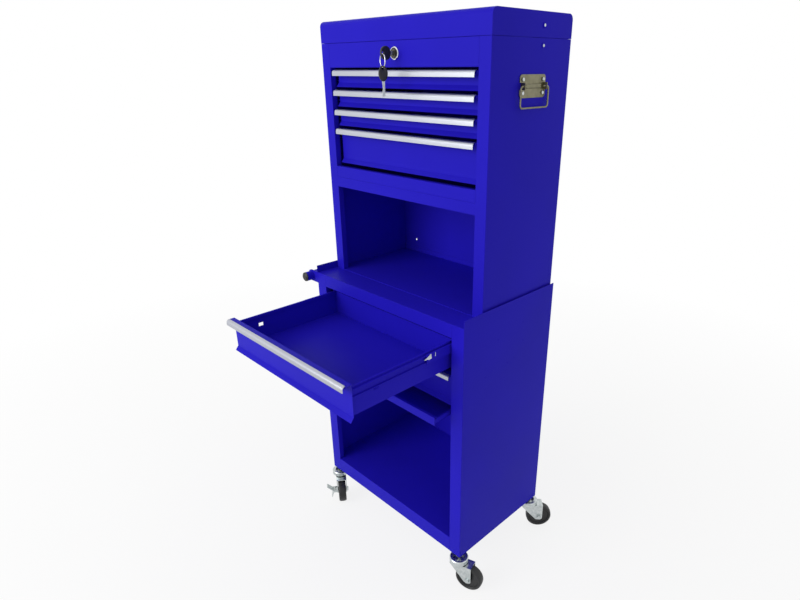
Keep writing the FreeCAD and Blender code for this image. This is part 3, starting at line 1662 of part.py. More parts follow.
def key_shape(name):
    """A key lying along +z from its head: round moulded head with a hole, and a notched blade."""
    half = D.key_head_steel / 2
    head = D.key_head_radius
    disc = rod(name + "_disc", "x", (-half, 0, 0), head, D.key_head_steel)
    eye_at = (-half * 2, 0, -head + D.key_hole_inset)
    eye = rod(name + "_eye", "x", eye_at, D.key_hole_radius, D.key_head_steel * 2)
    grip = minus(name + "_grip", disc, eye)
    thin = D.key_blade_steel / 2
    edge = D.key_blade_half
    root = head - D.steel * 2
    end = head + D.key_blade
    blade = block(name + "_blade", (-thin, -edge, root), (thin, edge, end))
    cuts = []
    depths = (D.key_cut_shallow, D.key_cut_middle, D.key_cut_deep, D.key_cut_shallow)
    for number, depth in enumerate(depths):
        low = end - D.key_cut_pitch * (number + 1) - D.steel
        notch = block(
            f"{name}_notch_{number}",
            (-thin * 2, edge - depth, low),
            (thin * 2, edge * 2, low + D.key_cut_width),
        )
        cuts.append(notch)
    toothed = minus(name + "_toothed", blade, joined(name + "_notches", cuts))
    return joined(name, [grip, toothed])


def keys():
    """The key in the lock and the ring that hangs through its eye."""
    front = -(D.lock_flange + D.plug_proud)
    head = D.key_head_radius
    centre = front + D.key_insert - D.key_blade - head
    eye = centre - head + D.key_hole_inset
    spot = (0, UP_FRONT + centre, LOCK_LEVEL)
    keep("key_in_lock", key_shape("key_inserted"), spot, AXIS_TURNS["y"])
    ring_top = LOCK_LEVEL - D.ring_sag
    ring = doc.addObject("Part::Torus", "split_ring")
    bind(ring, "Radius1", D.ring_radius)
    bind(ring, "Radius2", D.ring_wire_radius)
    turned = Rotation(Vector(0, 0, 1), D.ring_turn.value).multiply(AXIS_TURNS["y"])
    keep("key_ring", ring, (0, UP_FRONT + eye, ring_top - D.ring_radius), turned)


def lock_strike():
    """The strike on the lid: a plate beside the cam with a slot whose bottom edge the cam holds."""
    body = new_body("lock_strike")
    middle = UP_FRONT + CAM_START + D.cam_steel / 2
    near = middle - D.strike_half_depth
    far = middle + D.strike_half_depth
    low = LOCK_LEVEL - D.cam_half_width - D.strike_ledge - D.seat_gap * 2
    high = LID_TOP - D.steel
    pad(body, "YZ_Plane", rectangle(near, low, far, high), D.steel, D.strike_offset)
    foot = rectangle(near, high - D.steel, far, high)
    pad(body, "YZ_Plane", foot, D.strike_offset, D.strike_offset)
    slot_half = D.cam_steel / 2 + D.strike_slot_gap
    slot = rectangle(
        middle - slot_half,
        LOCK_LEVEL - D.cam_half_width - D.seat_gap * 2,
        middle + slot_half,
        CHEST_TOP + D.strike_ledge,
    )
    cut(body, "YZ_Plane", D.steel * 3, D.strike_offset - D.steel, [slot], backwards=True)
    keep("lock_strike", body)


def check_and_write():
    """Stop on any failed object, then write each sub-part's solids to its own file."""
    doc.recompute()
    for item in doc.Objects:
        if "Invalid" in item.State or "Error" in item.State:
            raise RuntimeError(f"{item.Label} failed to build: {item.State}")
    os.makedirs("parts", exist_ok=True)
    for label, piece in NODES.items():
        shape = piece.Shape
        if shape.isNull() or not shape.isValid() or not shape.Solids:
            raise RuntimeError(f"{label} has no valid solid")
        shape.exportStep(f"parts/{label}.step")
        print(f"{label}: {len(shape.Solids)} solid(s), {shape.Volume / 1000:.1f} cm3")


def main():
    """Build every sub-part in the order that the cabinet would be put together."""
    lower_side(1, "lower_side_right")
    lower_side(-1, "lower_side_left")
    lower_back_panel()
    lower_floor_panel()
    lower_top_panel()
    keep("caster_plates", group("plates", [corner_plate(corner) for corner in CORNERS]))
    stems = [piece for corner in CORNERS for piece in caster_stem(corner)]
    keep("caster_stems", group("stems", stems))
    for corner in CORNERS:
        fork(corner, corner in BRAKED)
        wheel(corner)
        if corner in BRAKED:
            brake_pedal(corner)
    lower_slide_rails()
    lower_drawers()
    pull_out_tray()
    push_bar()
    middle_floor()
    middle_wrap()
    chest_floor()
    chest_wrap()
    chest_front_panel()
    till_floor()
    chest_drawers()
    handles = [piece for sign in (1, -1) for piece in handle_plate(sign)]
    keep("handle_plates", group("handles", handles))
    for sign in (1, -1):
        bail(sign)
    lock_housing()
    lock_plug()
    keys()
    lid()
    lock_strike()
    count = int(D.knuckle_count.value)
    hinge_leaf("hinge_chest_leaf", -1, 0, (count + 1) // 2, True)
    hinge_leaf("hinge_lid_leaf", 1, 1, count // 2, False)
    lid_stays()
    check_and_write()


main()
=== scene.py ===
import json
import logging
import math
from dataclasses import dataclass, field
from enum import Enum

import bmesh
import bpy
from mathutils import Matrix, Vector

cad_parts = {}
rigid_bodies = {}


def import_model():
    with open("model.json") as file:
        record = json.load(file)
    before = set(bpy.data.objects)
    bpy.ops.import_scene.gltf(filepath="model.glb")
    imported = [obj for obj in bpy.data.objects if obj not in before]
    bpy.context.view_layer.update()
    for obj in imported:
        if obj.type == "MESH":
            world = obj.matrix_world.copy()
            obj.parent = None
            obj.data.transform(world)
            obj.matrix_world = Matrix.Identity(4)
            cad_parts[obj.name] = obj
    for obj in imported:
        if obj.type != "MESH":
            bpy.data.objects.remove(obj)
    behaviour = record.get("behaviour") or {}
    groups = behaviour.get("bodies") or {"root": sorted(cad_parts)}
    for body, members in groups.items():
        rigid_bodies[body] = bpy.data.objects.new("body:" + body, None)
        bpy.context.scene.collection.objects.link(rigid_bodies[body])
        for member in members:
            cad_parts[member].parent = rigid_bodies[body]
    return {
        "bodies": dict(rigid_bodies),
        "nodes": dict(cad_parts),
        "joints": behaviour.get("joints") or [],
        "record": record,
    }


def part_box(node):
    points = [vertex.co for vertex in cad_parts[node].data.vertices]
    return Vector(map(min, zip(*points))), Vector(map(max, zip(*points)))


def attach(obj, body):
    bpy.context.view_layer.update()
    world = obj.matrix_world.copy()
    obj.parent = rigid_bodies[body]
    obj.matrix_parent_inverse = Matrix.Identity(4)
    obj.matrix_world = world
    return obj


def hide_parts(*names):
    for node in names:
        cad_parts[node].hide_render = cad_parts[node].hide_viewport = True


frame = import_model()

log = logging.getLogger("tool_cabinet")

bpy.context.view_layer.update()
MM = 0.001
# Points closer together than this are one point
MERGE_DISTANCE = 0.01 * MM
# Stands a key that is drawn in the x-y plane up in the y-z plane
KEY_STAND = Matrix(((0, 0, 1), (1, 0, 0), (0, 1, 0))).to_4x4()
DRAWERS = range(1, 7)
LOWER_DRAWERS = (5, 6)
WHITE = (1.0, 1.0, 1.0, 1.0)


class Side(Enum):
    """The cabinet's two sides, each with the sign that x has there."""

    RIGHT = 1
    LEFT = -1

    @property
    def title(self) -> str:
        """Name the side as the nodes do."""
        return self.name.lower()


class Corner(Enum):
    """The four casters by the corner that they stand under."""

    FRONT_RIGHT = "front_right"
    BACK_RIGHT = "back_right"
    FRONT_LEFT = "front_left"
    BACK_LEFT = "back_left"


def linear(text: str) -> tuple[float, float, float, float]:
    """Turn an sRGB hex colour to linear.

    Args:
        text: the colour as #RRGGBB.

    Returns:
        Linear red, green and blue, and an alpha of 1.
    """
    channels = []
    for start in (1, 3, 5):
        value = int(text[start:start + 2], 16) / 255
        channels.append(value / 12.92 if value <= 0.04045 else ((value + 0.055) / 1.055) ** 2.4)
    return (*channels, 1.0)


def cabinet_anchor() -> Vector:
    """Find the cabinet's own origin.

    Returns:
        The point where its centre plane, its front face and the floor meet.
    """
    left_low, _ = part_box("lower_side_left")
    right_low, right_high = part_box("lower_side_right")
    return Vector(((left_low.x + right_high.x) / 2, right_low.y, 0.0))


def add_node(tree: bpy.types.NodeTree, kind: str, settings: dict, links: dict) -> bpy.types.Node:
    """Add a shader node with its settings and the sockets that feed it.

    Args:
        tree: the material's node tree.
        kind: the node's type name.
        settings: values by socket name, or by attribute where no socket has that name.
        links: source sockets by the name or the number of the socket that they feed.

    Returns:
        The new node.
    """
    node = tree.nodes.new(kind)
    for name, value in settings.items():
        if name in node.inputs:
            node.inputs[name].default_value = value
        else:
            setattr(node, name, value)
    for name, source in links.items():
        tree.links.new(source, node.inputs[name])
    return node


@dataclass(frozen=True)
class Finish:
    """A surface: its colour, its gloss and the fine texture that its making leaves."""

    name: str
    colour: str
    roughness: float
    metallic: float = 0.0
    shade: str = ""
    cloud_mm: float = 40.0
    grain_mm: float = 1.0
    grain_stretch: float = 1.0
    grain_depth_mm: float = 0.02
    grain_strength: float = 0.1
    roughness_spread: float = 0.05
    specular: float = 0.5
    tone_span: tuple[float, float] = (0.35, 0.65)

    def build(self) -> bpy.types.Material:
        """Make the material.

        Returns:
            A material with cloudy tone, uneven gloss and a fine bump on object coordinates.
        """
        material = bpy.data.materials.new(self.name)
        material.use_nodes = True
        tree = material.node_tree
        shader = tree.nodes["Principled BSDF"]
        place = add_node(tree, "ShaderNodeTexCoord", {}, {}).outputs["Object"]
        clouds = add_node(
            tree,
            "ShaderNodeTexNoise",
            {"Scale": 1 / (self.cloud_mm * MM), "Detail": 3.0, "Roughness": 0.5},
            {"Vector": place},
        )
        tone = add_node(tree, "ShaderNodeValToRGB", {}, {"Fac": clouds.outputs["Fac"]})
        dark, light = tone.color_ramp.elements
        dark.position, light.position = self.tone_span
        dark.color = linear(self.shade or self.colour)
        light.color = linear(self.colour)
        tree.links.new(tone.outputs["Color"], shader.inputs["Base Color"])
        gloss = add_node(
            tree,
            "ShaderNodeMapRange",
            {"To Min": self.roughness - self.roughness_spread,
             "To Max": self.roughness + self.roughness_spread},
            {"Value": clouds.outputs["Fac"]},
        )
        tree.links.new(gloss.outputs["Result"], shader.inputs["Roughness"])
        # A stretch above 1 draws the grain out along x, as a brush or die does
        lay = add_node(
            tree,
            "ShaderNodeMapping",
            {"Scale": (1 / self.grain_stretch, 1.0, 1.0)},
            {"Vector": place},
        )
        grain = add_node(
            tree,
            "ShaderNodeTexNoise",
            {"Scale": 1 / (self.grain_mm * MM), "Detail": 2.0},
            {"Vector": lay.outputs["Vector"]},
        )
        bump = add_node(
            tree,
            "ShaderNodeBump",
            {"Strength": self.grain_strength, "Distance": self.grain_depth_mm * MM},
            {"Height": grain.outputs["Fac"]},
        )
        tree.links.new(bump.outputs["Normal"], shader.inputs["Normal"])
        shader.inputs["Metallic"].default_value = self.metallic
        shader.inputs["Specular IOR Level"].default_value = self.specular
        return material


# Powder coat on sheet steel: even deep blue, with the shallow orange peel of a baked film. The film
# is well filled with pigment, so that little of the room's white shows in it
POWDER_COAT = Finish(
    "baked_blue_powder_coat", "#261CC2", 0.42, shade="#241BBA", cloud_mm=220.0, grain_mm=1.4,
    grain_depth_mm=0.03, grain_strength=0.12, roughness_spread=0.03, specular=0.05,
)
# Clear zinc plate on pressed steel: soft grey-white with cloudy crystals
ZINC_PLATE = Finish(
    "clear_zinc_plated_steel", "#CDD2D2", 0.30, metallic=1.0, shade="#B4BBBB", cloud_mm=7.0,
    grain_mm=0.6, grain_depth_mm=0.015,
)
# Yellow passivated zinc, dull with an olive cast
OLIVE_ZINC = Finish(
    "passivated_zinc_plate", "#86836C", 0.40, metallic=1.0, shade="#78755F", cloud_mm=9.0,
    grain_mm=0.7, grain_depth_mm=0.012,
)
# Anodised extrusion: an even satin with lines along its length that are too fine to see
SATIN_ALUMINIUM = Finish(
    "satin_anodised_aluminium", "#BCBFC8", 0.36, metallic=1.0, shade="#B7BAC3", cloud_mm=120.0,
    grain_mm=0.35, grain_stretch=60.0, grain_depth_mm=0.002, roughness_spread=0.02,
)
# Injection moulded polypropylene: near black with a fine spark-eroded grain
MOULDED_PLASTIC = Finish(
    "moulded_black_polypropylene", "#1A1B1C", 0.48, shade="#141516", cloud_mm=15.0, grain_mm=0.5,
    grain_strength=0.2,
)
# Nickel chrome on the lock and ring: close to a mirror, with hardly any grain
NICKEL_CHROME = Finish(
    "polished_nickel_chrome", "#DEDFE0", 0.12, metallic=1.0, grain_strength=0.02,
    roughness_spread=0.02,
)
# Nickel on the lock's plug, darkened as painted shade for the dark inside of the lock's face
SHADE_DARKENED_NICKEL = Finish(
    "worn_dark_nickel", "#5A5850", 0.35, metallic=1.0, shade="#3E3C37", cloud_mm=3.0,
)
# Painted shade for the lock's recess: a dull dark ring that stands in for the shade of a recess
# that the flat flange doesn't have
PAINTED_RECESS_SHADE = Finish("blackened_recess", "#24231F", 0.6, cloud_mm=5.0)


class Surface(Enum):
    """The finishes that a piece can take."""

    PAINT = POWDER_COAT
    ZINC = ZINC_PLATE
    OLIVE = OLIVE_ZINC
    ALUMINIUM = SATIN_ALUMINIUM
    PLASTIC = MOULDED_PLASTIC
    CHROME = NICKEL_CHROME
    # Nickel darkened as painted shade, for the lock's plug
    NICKEL = SHADE_DARKENED_NICKEL
    # A dark ring of painted shade on the lock's face
    RECESS = PAINTED_RECESS_SHADE


def joint_named(frame: dict, name: str) -> dict:
    """Find a joint of the frame by its name."""
    return next(joint for joint in frame["joints"] if joint["name"] == name)


def finish_piece(name: str, mesh: bmesh.types.BMesh, material: bpy.types.Material, body: str,
                 smooth: bool = True) -> bpy.types.Object:
    """Turn a bmesh into a piece that rides on a body.

    Args:
        name: the piece's name.
        mesh: its shape, in the frame, which is used up.
        material: its finish.
        body: the CAD body that it moves with.
        smooth: whether its faces are shaded smooth.

    Returns:
        The new object.
    """
    bmesh.ops.recalc_face_normals(mesh, faces=mesh.faces)
    data = bpy.data.meshes.new(name)
    mesh.to_mesh(data)
    mesh.free()
    for face in data.polygons:
        face.use_smooth = smooth
    data.materials.append(material)
    piece = bpy.data.objects.new(name, data)
    bpy.context.scene.collection.objects.link(piece)
    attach(piece, body)
    log.info("%s rides on %s", name, body)
    return piece


def bevel(mesh: bmesh.types.BMesh, width: float, angle: float, segments: int = 3) -> None:
    """Round the edges of a shape that turn by more than an angle.

    Args:
        mesh: the shape.
        width: the bevel's width in metres.
        angle: the least turn in degrees.
        segments: how many faces each bevel has.
    """
    sharp = [e for e in mesh.edges if e.is_manifold and e.calc_face_angle(0) > math.radians(angle)]
    bmesh.ops.bevel(mesh, geom=sharp, offset=width, offset_type="OFFSET", affect="EDGES",
                    segments=segments, profile=0.5, material=-1, clamp_overlap=True)


def push_out(mesh: bmesh.types.BMesh, faces: list[bmesh.types.BMFace],
             vec: tuple[float, float, float]) -> None:
    """Extrude faces and move their new end.

    Args:
        mesh: the shape.
        faces: the faces that are extruded.
        vec: how far the new end moves.
    """
    grown = bmesh.ops.extrude_face_region(mesh, geom=faces)
    moved = [item for item in grown["geom"] if isinstance(item, bmesh.types.BMVert)]
    bmesh.ops.translate(mesh, vec=vec, verts=moved)


def thicken(mesh: bmesh.types.BMesh, thickness: float) -> None:
    """Give a flat shape in the x-y plane a thickness, half of it to each side."""
    push_out(mesh, mesh.faces[:], (0, 0, thickness))
    bmesh.ops.translate(mesh, vec=(0, 0, -thickness / 2), verts=mesh.verts)


def spin_round(corners: list[tuple[float, float, float]], axis: tuple[float, float, float],
               segments: int) -> bmesh.types.BMesh:
    """Spin a closed section right round an axis through the origin.

    Args:
        corners: the section's corners in order.
        axis: the axis that it turns about.
        segments: how many steps the turn has.

    Returns:
        The closed shape.
    """
    mesh = bmesh.new()
    verts = [mesh.verts.new(corner) for corner in corners]
    edges = [mesh.edges.new(pair) for pair in zip(verts, verts[1:] + verts[:1])]
    bmesh.ops.spin(mesh, geom=verts + edges, cent=(0, 0, 0), axis=axis, dvec=(0, 0, 0),
                   angle=math.tau, steps=segments, use_merge=True, use_duplicate=False)
    bmesh.ops.remove_doubles(mesh, verts=mesh.verts, dist=MERGE_DISTANCE)
    return mesh


def prism(outline: list[tuple[float, float]], start: float, end: float) -> bmesh.types.BMesh:
    """Push a closed outline out along x.

    Args:
        outline: its corners as y and z.
        start: the first end's x.
        end: the other end's x.

    Returns:
        The closed shape.
    """
    mesh = bmesh.new()
    face = mesh.faces.new([mesh.verts.new((start, across, up)) for across, up in outline])
    push_out(mesh, [face], (end - start, 0, 0))
    return mesh


def split_edges(piece: bpy.types.Object, angle: float = 35.0) -> None:
    """Keep edges that turn by more than an angle in degrees sharp."""
    edge = piece.modifiers.new("edge", "EDGE_SPLIT")
    edge.split_angle = math.radians(angle)


@dataclass
class CaseWork:
    """The painted sheet metal and every other CAD node that only takes a finish."""

    frame: dict
    materials: dict[Surface, bpy.types.Material]
    zinc_starts: tuple[str, ...] = ("caster_stems", "caster_fork", "brake_pedal")

    def finish_of(self, node: str) -> Surface:
        """Choose the finish of a CAD node.

        Args:
            node: the node's name.

        Returns:
            Its finish.
        """
        if node.endswith("_pull"):
            return Surface.ALUMINIUM
        if node.startswith("caster_wheel") or node in ("push_bar_plugs", "key_in_lock"):
            return Surface.PLASTIC
        if node in ("lock_housing", "key_ring"):
            return Surface.CHROME
        # The plug's dark nickel is painted shade for the inside of the lock's face
        if node == "lock_plug":
            return Surface.NICKEL
        if node == "handle_plates" or node.startswith("bail_"):
            return Surface.OLIVE
        if node.startswith(self.zinc_starts):
            return Surface.ZINC
        return Surface.PAINT

    def dress(self) -> None:
        """Give every CAD node its finish."""
        for name, node in self.frame["nodes"].items():
            material = self.materials[self.finish_of(name)]
            node.data.materials.clear()
            node.data.materials.append(material)
        log.info("%d CAD nodes dressed", len(self.frame["nodes"]))


@dataclass
class Key:
    """A flat key with a moulded oval head and a cut steel blade."""

    head_half_width: float = 11.0 * MM
    head_half_height: float = 11.0 * MM
    head_thickness: float = 4.0 * MM
    hole_radius: float = 2.6 * MM
    hole_inset: float = 4.2 * MM
    blade_length: float = 24.0 * MM
    blade_root: float = 2.0 * MM
    blade_half_width: float = 3.4 * MM
    blade_thickness: float = 2.0 * MM
    round: float = 0.9 * MM
    segments: int = 56
    # How deep the blade's edge is cut, from the head to the tip, in millimetres
    cuts: tuple[float, ...] = (0.0, 0.7, 0.7, 1.2, 1.2, 1.7, 0.7, 0.7, 0.3, 0.0)

    def head(self) -> bmesh.types.BMesh:
        """Shape the head in the y-z plane, its hole towards -z.

        Returns:
            The head, centred on the origin.
        """
        mesh = bmesh.new()
        outer = bmesh.ops.create_circle(mesh, cap_ends=False, radius=1.0, segments=self.segments)
        bmesh.ops.scale(mesh, vec=(self.head_half_width, self.head_half_height, 1.0),
                        verts=outer["verts"])
        inner = bmesh.ops.create_circle(mesh, cap_ends=False, radius=self.hole_radius,
                                        segments=self.segments)
        bmesh.ops.translate(mesh, vec=(0, self.hole_inset - self.head_half_height, 0),
                            verts=inner["verts"])
        bmesh.ops.bridge_loops(mesh, edges=mesh.edges[:])
        thicken(mesh, self.head_thickness)
        bmesh.ops.recalc_face_normals(mesh, faces=mesh.faces)
        bevel(mesh, self.round, angle=60.0)
        bmesh.ops.transform(mesh, matrix=KEY_STAND, verts=mesh.verts)
        return mesh

    def blade(self) -> bmesh.types.BMesh:
        """Shape the toothed blade in the y-z plane, running to +z from the head.

        Returns:
            The blade, placed against a head centred on the origin.
        """
        mesh = bmesh.new()
        bmesh.ops.create_grid(mesh, x_segments=len(self.cuts) - 1, y_segments=1, size=1.0)
        length = self.blade_length + self.blade_root
        for vert in mesh.verts:
            step = round((vert.co.x + 1) / 2 * (len(self.cuts) - 1))
            toothed = self.cuts[step] * MM if vert.co.y > 0 else 0.0
            along = self.head_half_height - self.blade_root + (vert.co.x + 1) / 2 * length
            vert.co = Vector((math.copysign(self.blade_half_width, vert.co.y) - toothed, along, 0))
        thicken(mesh, self.blade_thickness)
        bmesh.ops.transform(mesh, matrix=KEY_STAND, verts=mesh.verts)
        return mesh


@dataclass
class Keys:
    """The key in the lock and the second key that hangs from its ring."""

    materials: dict[Surface, bpy.types.Material]
    inserted: Key = field(default_factory=Key)
    spare: Key = field(default_factory=lambda: Key(
        head_half_width=8.2 * MM, head_half_height=12.5 * MM, blade_half_width=2.4 * MM))
    spare_turn: float = -17.0
    ring_wire: float = 0.9 * MM
    hang_gap: float = 0.1 * MM

    def place(self, key: Key, name: str, matrix: Matrix, body: str) -> bpy.types.Object:
        """Build a key's two pieces at a place.

        Args:
            key: the key's sizes.
            name: the stem of the pieces' names.
            matrix: where the head's centre goes.
            body: the CAD body that it moves with.

        Returns:
            The head.
        """
        head, blade = key.head(), key.blade()
        for mesh in (head, blade):
            bmesh.ops.transform(mesh, matrix=matrix, verts=mesh.verts)
        piece = finish_piece(f"{name}_head", head, self.materials[Surface.PLASTIC], body)
        finish_piece(f"{name}_blade", blade, self.materials[Surface.ZINC], body,
                     smooth=False)
        return piece

    def build(self) -> None:
        """Build both keys."""
        low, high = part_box("key_in_lock")
        centre = Vector(((low.x + high.x) / 2, low.y + self.inserted.head_half_height,
                         (low.z + high.z) / 2))
        # The key's own +z points into the lock, which is the cabinet's +y
        inward = Matrix.Rotation(math.radians(-90), 4, "X")
        seat = Matrix.Translation(centre) @ inward
        head = self.place(self.inserted, "lock_key", seat, "lock_plug")
        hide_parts("key_in_lock")
        low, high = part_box("key_ring")
        eye = low.z + self.ring_wire - (self.spare.hole_radius - self.ring_wire - self.hang_gap)
        drop = self.spare.head_half_height - self.spare.hole_inset
        spot = Vector(((low.x + high.x) / 2, (low.y + high.y) / 2, eye - drop))
        upside_down = Matrix.Rotation(math.pi, 4, "X")
        hang = Matrix.Rotation(math.radians(self.spare_turn), 4, "Z") @ upside_down
        self.place(self.spare, "spare_key", Matrix.Translation(spot) @ hang, "key_ring")


@dataclass
class Wheel:
    """A caster wheel: moulded in one, with a crowned tread, a recessed web and a proud hub."""

    frame: dict
    material: bpy.types.Material
    radius: float = 30.0 * MM
    half_width: float = 9.25 * MM
    hub_radius: float = 8.0 * MM
    hub_half: float = 10.15 * MM
    bore: float = 3.06 * MM
    rim: float = 6.0 * MM
    recess: float = 3.2 * MM
    crown: float = 0.5 * MM
    round: float = 3.8 * MM
    round_turns: tuple[float, ...] = (0, 22.5, 45, 67.5, 90)
    ease: float = 0.5 * MM
    draft: float = 0.6 * MM
    web_slope: float = 1.6 * MM
    segments: int = 64

    def outline(self) -> list[tuple[float, float]]:
        """Give half the wheel's section.

        Returns:
            Its corners as radius and distance from the wheel's middle plane.
        """
        web = self.half_width - self.recess
        inner = self.radius - self.rim
        shoulder = self.radius - self.crown
        rounded = [
            (shoulder - self.round * (1 - math.sin(turn)),
             self.half_width - self.round * (1 - math.cos(turn)))
            for turn in (math.radians(angle) for angle in self.round_turns)
        ]
        return [
            (self.bore, self.hub_half),
            (self.hub_radius - self.ease, self.hub_half),
            (self.hub_radius, self.hub_half - self.ease),
            (self.hub_radius + self.draft, web),
            (inner - self.web_slope, web),
            (inner, self.half_width - self.ease),
            (inner + self.draft, self.half_width),
            *rounded,
            (self.radius, 0.0),
        ]

    def build(self, corner: Corner) -> None:
        """Spin the wheel about its axle and stand it in its fork.

        Args:
            corner: the caster that it belongs to.
        """
        node = f"caster_wheel_{corner.value}"
        half = self.outline()
        section = half + [(radius, -level) for radius, level in half[-2::-1]]
        corners = [(radius, 0, level) for radius, level in section]
        mesh = spin_round(corners, (0, 0, 1), self.segments)
        joint = joint_named(self.frame, f"roll_{corner.value}")
        turn = Vector((0, 0, 1)).rotation_difference(Vector(joint["axis"])).to_matrix().to_4x4()
        matrix = Matrix.Translation(Vector(joint["pos_m"])) @ turn
        bmesh.ops.transform(mesh, matrix=matrix, verts=mesh.verts)
        piece = finish_piece(f"wheel_{corner.value}", mesh, self.material, f"wheel_{corner.value}")
        split_edges(piece)
        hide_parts(node)


@dataclass
class Pull:
    """An aluminium pull: a quarter round that covers only the front edge of the drawer's ledge."""

    material: bpy.types.Material
    depth: float = 6.5 * MM
    wall: float = 1.2 * MM
    round: float = 6.0 * MM
    segments: int = 10

    def section(self, front: float, foot: float, top: float) -> list[tuple[float, float]]:
        """Give the pull's section.

        Args:
            front: its foremost y.
            foot: its lowest z.
            top: its highest z.

        Returns:
            Its corners as y and z.
        """
        turns = [math.pi / 2 * step / self.segments for step in range(self.segments + 1)]
        middle, level = front + self.round, top - self.round
        outer = [(middle - self.round * math.sin(turn), level + self.round * math.cos(turn))
                 for turn in turns]
        thin = self.round - self.wall
        inner = [(middle - thin * math.sin(turn), level + thin * math.cos(turn))
                 for turn in reversed(turns)]
        back = front + self.depth
        return [(back, top), *outer, (front, foot), (front + self.wall, foot), *inner,
                (back, top - self.wall)]

    def build(self, number: int) -> None:
        """Build the pull of one drawer.

        Args:
            number: the drawer, from 1 at the top to 6.
        """
        node = f"drawer_{number}_pull"
        low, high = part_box(node)
        mesh = prism(self.section(low.y, low.z, high.z), low.x, high.x)
        piece = finish_piece(f"pull_{number}", mesh, self.material, f"drawer_{number}")
        split_edges(piece)
        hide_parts(node)


@dataclass
class SlideCatch:
    """The bright lever on the outer face of a slide's middle member, with its stop behind it."""

    material: bpy.types.Material
    thickness: float = 0.3 * MM
    # Back from the member's front end and up from its middle, in millimetres
    lever: tuple[tuple[float, float], ...] = (
        (-7.3, 2.0), (-1.0, 3.2), (4.5, 6.0), (8.6, 8.4), (10.6, 8.2), (11.4, -1.0), (4.8, -1.4),
        (1.5, 0.2), (-4.0, 0.6),
    )
    stop: tuple[tuple[float, float], ...] = ((20.2, 0.2), (21.6, 0.2), (21.6, 7.8), (20.2, 7.8))

    def build(self, number: int) -> None:
        """Build the catches on both slides of a lower drawer.

        Args:
            number: the drawer, 5 or 6.
        """
        node = f"drawer_{number}_slides"
        low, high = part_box(node)
        level = (low.z + high.z) / 2
        for side, face in ((Side.RIGHT, high.x), (Side.LEFT, low.x)):
            for part, outline in (("lever", self.lever), ("stop", self.stop)):
                corners = [(low.y + back * MM, level + up * MM) for back, up in outline]
                mesh = prism(corners, face, face + side.value * self.thickness)
                finish_piece(f"slide_{number}_{part}_{side.title}", mesh, self.material, node,
                             smooth=False)


@dataclass
class Bail:
    """The wire of a side handle: thinner than its ears' holes, bent at four rounded corners."""

    material: bpy.types.Material
    radius: float = 1.5 * MM
    cad_radius: float = 2.0 * MM
    corner: float = 5.0 * MM
    hook: float = 16.0 * MM
    ring: int = 16
    steps: int = 8

    def spine(self, low: Vector, high: Vector) -> list[Vector]:
        """Lay the wire's middle line inside the CAD wire's box.

        Args:
            low: the box's lowest corner.
            high: its highest corner.

        Returns:
            Points from one end to the other.
        """
        inset = self.cad_radius
        front, back, foot, top = low.y + inset, high.y - inset, low.z + inset, high.z - inset
        centre = (low.x + high.x) / 2
        bends = [Vector((centre, y, z)) for y, z in (
            (front + self.hook, top), (front, top), (front, foot), (back, foot), (back, top),
            (back - self.hook, top),
        )]
        line = [bends[0]]
        for before, point, after in zip(bends, bends[1:], bends[2:]):
            towards, onwards = (before - point).normalized(), (after - point).normalized()
            middle = point + (towards + onwards) * self.corner
            for step in range(self.steps + 1):
                turn = math.pi / 2 * step / self.steps
                line.append(middle - onwards * self.corner * math.cos(turn)
                            - towards * self.corner * math.sin(turn))
        return [*line, bends[-1]]

    def build(self, side: Side) -> None:
        """Ring the wire's middle line, bridge each ring to the next and close the two ends.

        Args:
            side: the side of the cabinet that it hangs on.
        """
        node = f"bail_{side.title}"
        line = self.spine(*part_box(node))
        mesh = bmesh.new()
        across = Vector((1, 0, 0))
        rings = []
        for before, point, after in zip(line[:1] + line, line, line[1:] + line[-1:]):
            onward = (after - before).normalized()
            facing = Matrix((across, onward.cross(across), onward)).transposed().to_4x4()
            bmesh.ops.create_circle(mesh, cap_ends=False, radius=self.radius, segments=self.ring,
                                    matrix=Matrix.Translation(point) @ facing)
            rings.append(mesh.edges[-self.ring:])
        for first, second in zip(rings, rings[1:]):
            bmesh.ops.bridge_loops(mesh, edges=first + second)
        bmesh.ops.holes_fill(mesh, edges=mesh.edges[:], sides=0)
        piece = finish_piece(f"{node}_wire", mesh, self.material, node)
        split_edges(piece)
        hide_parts(node)


@dataclass
class LockFace:
    """A thin dull dark ring between the lock's bright rim and its plug: painted shade where a
    recess would be.
    """

    material: bpy.types.Material
    inner: float = 6.2 * MM
    outer: float = 8.8 * MM
    rise: float = 0.2 * MM
    segments: int = 48

    def build(self) -> None:
        """Spin the ring and set it on the flange."""
        low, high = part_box("lock_housing")
        section = [(self.inner, 0.0), (self.outer, 0.0), (self.outer - self.rise, self.rise),
                   (self.inner + self.rise, self.rise)]
        corners = [(radius, -level, 0) for radius, level in section]
        mesh = spin_round(corners, (0, 1, 0), self.segments)
        spot = Vector(((low.x + high.x) / 2, low.y, (low.z + high.z) / 2))
        bmesh.ops.translate(mesh, vec=spot, verts=mesh.verts)
        # The dark ring is painted shade standing proud of the flat flange, not a real hollow
        piece = finish_piece("lock_recess", mesh, self.material, "cabinet")
        split_edges(piece)


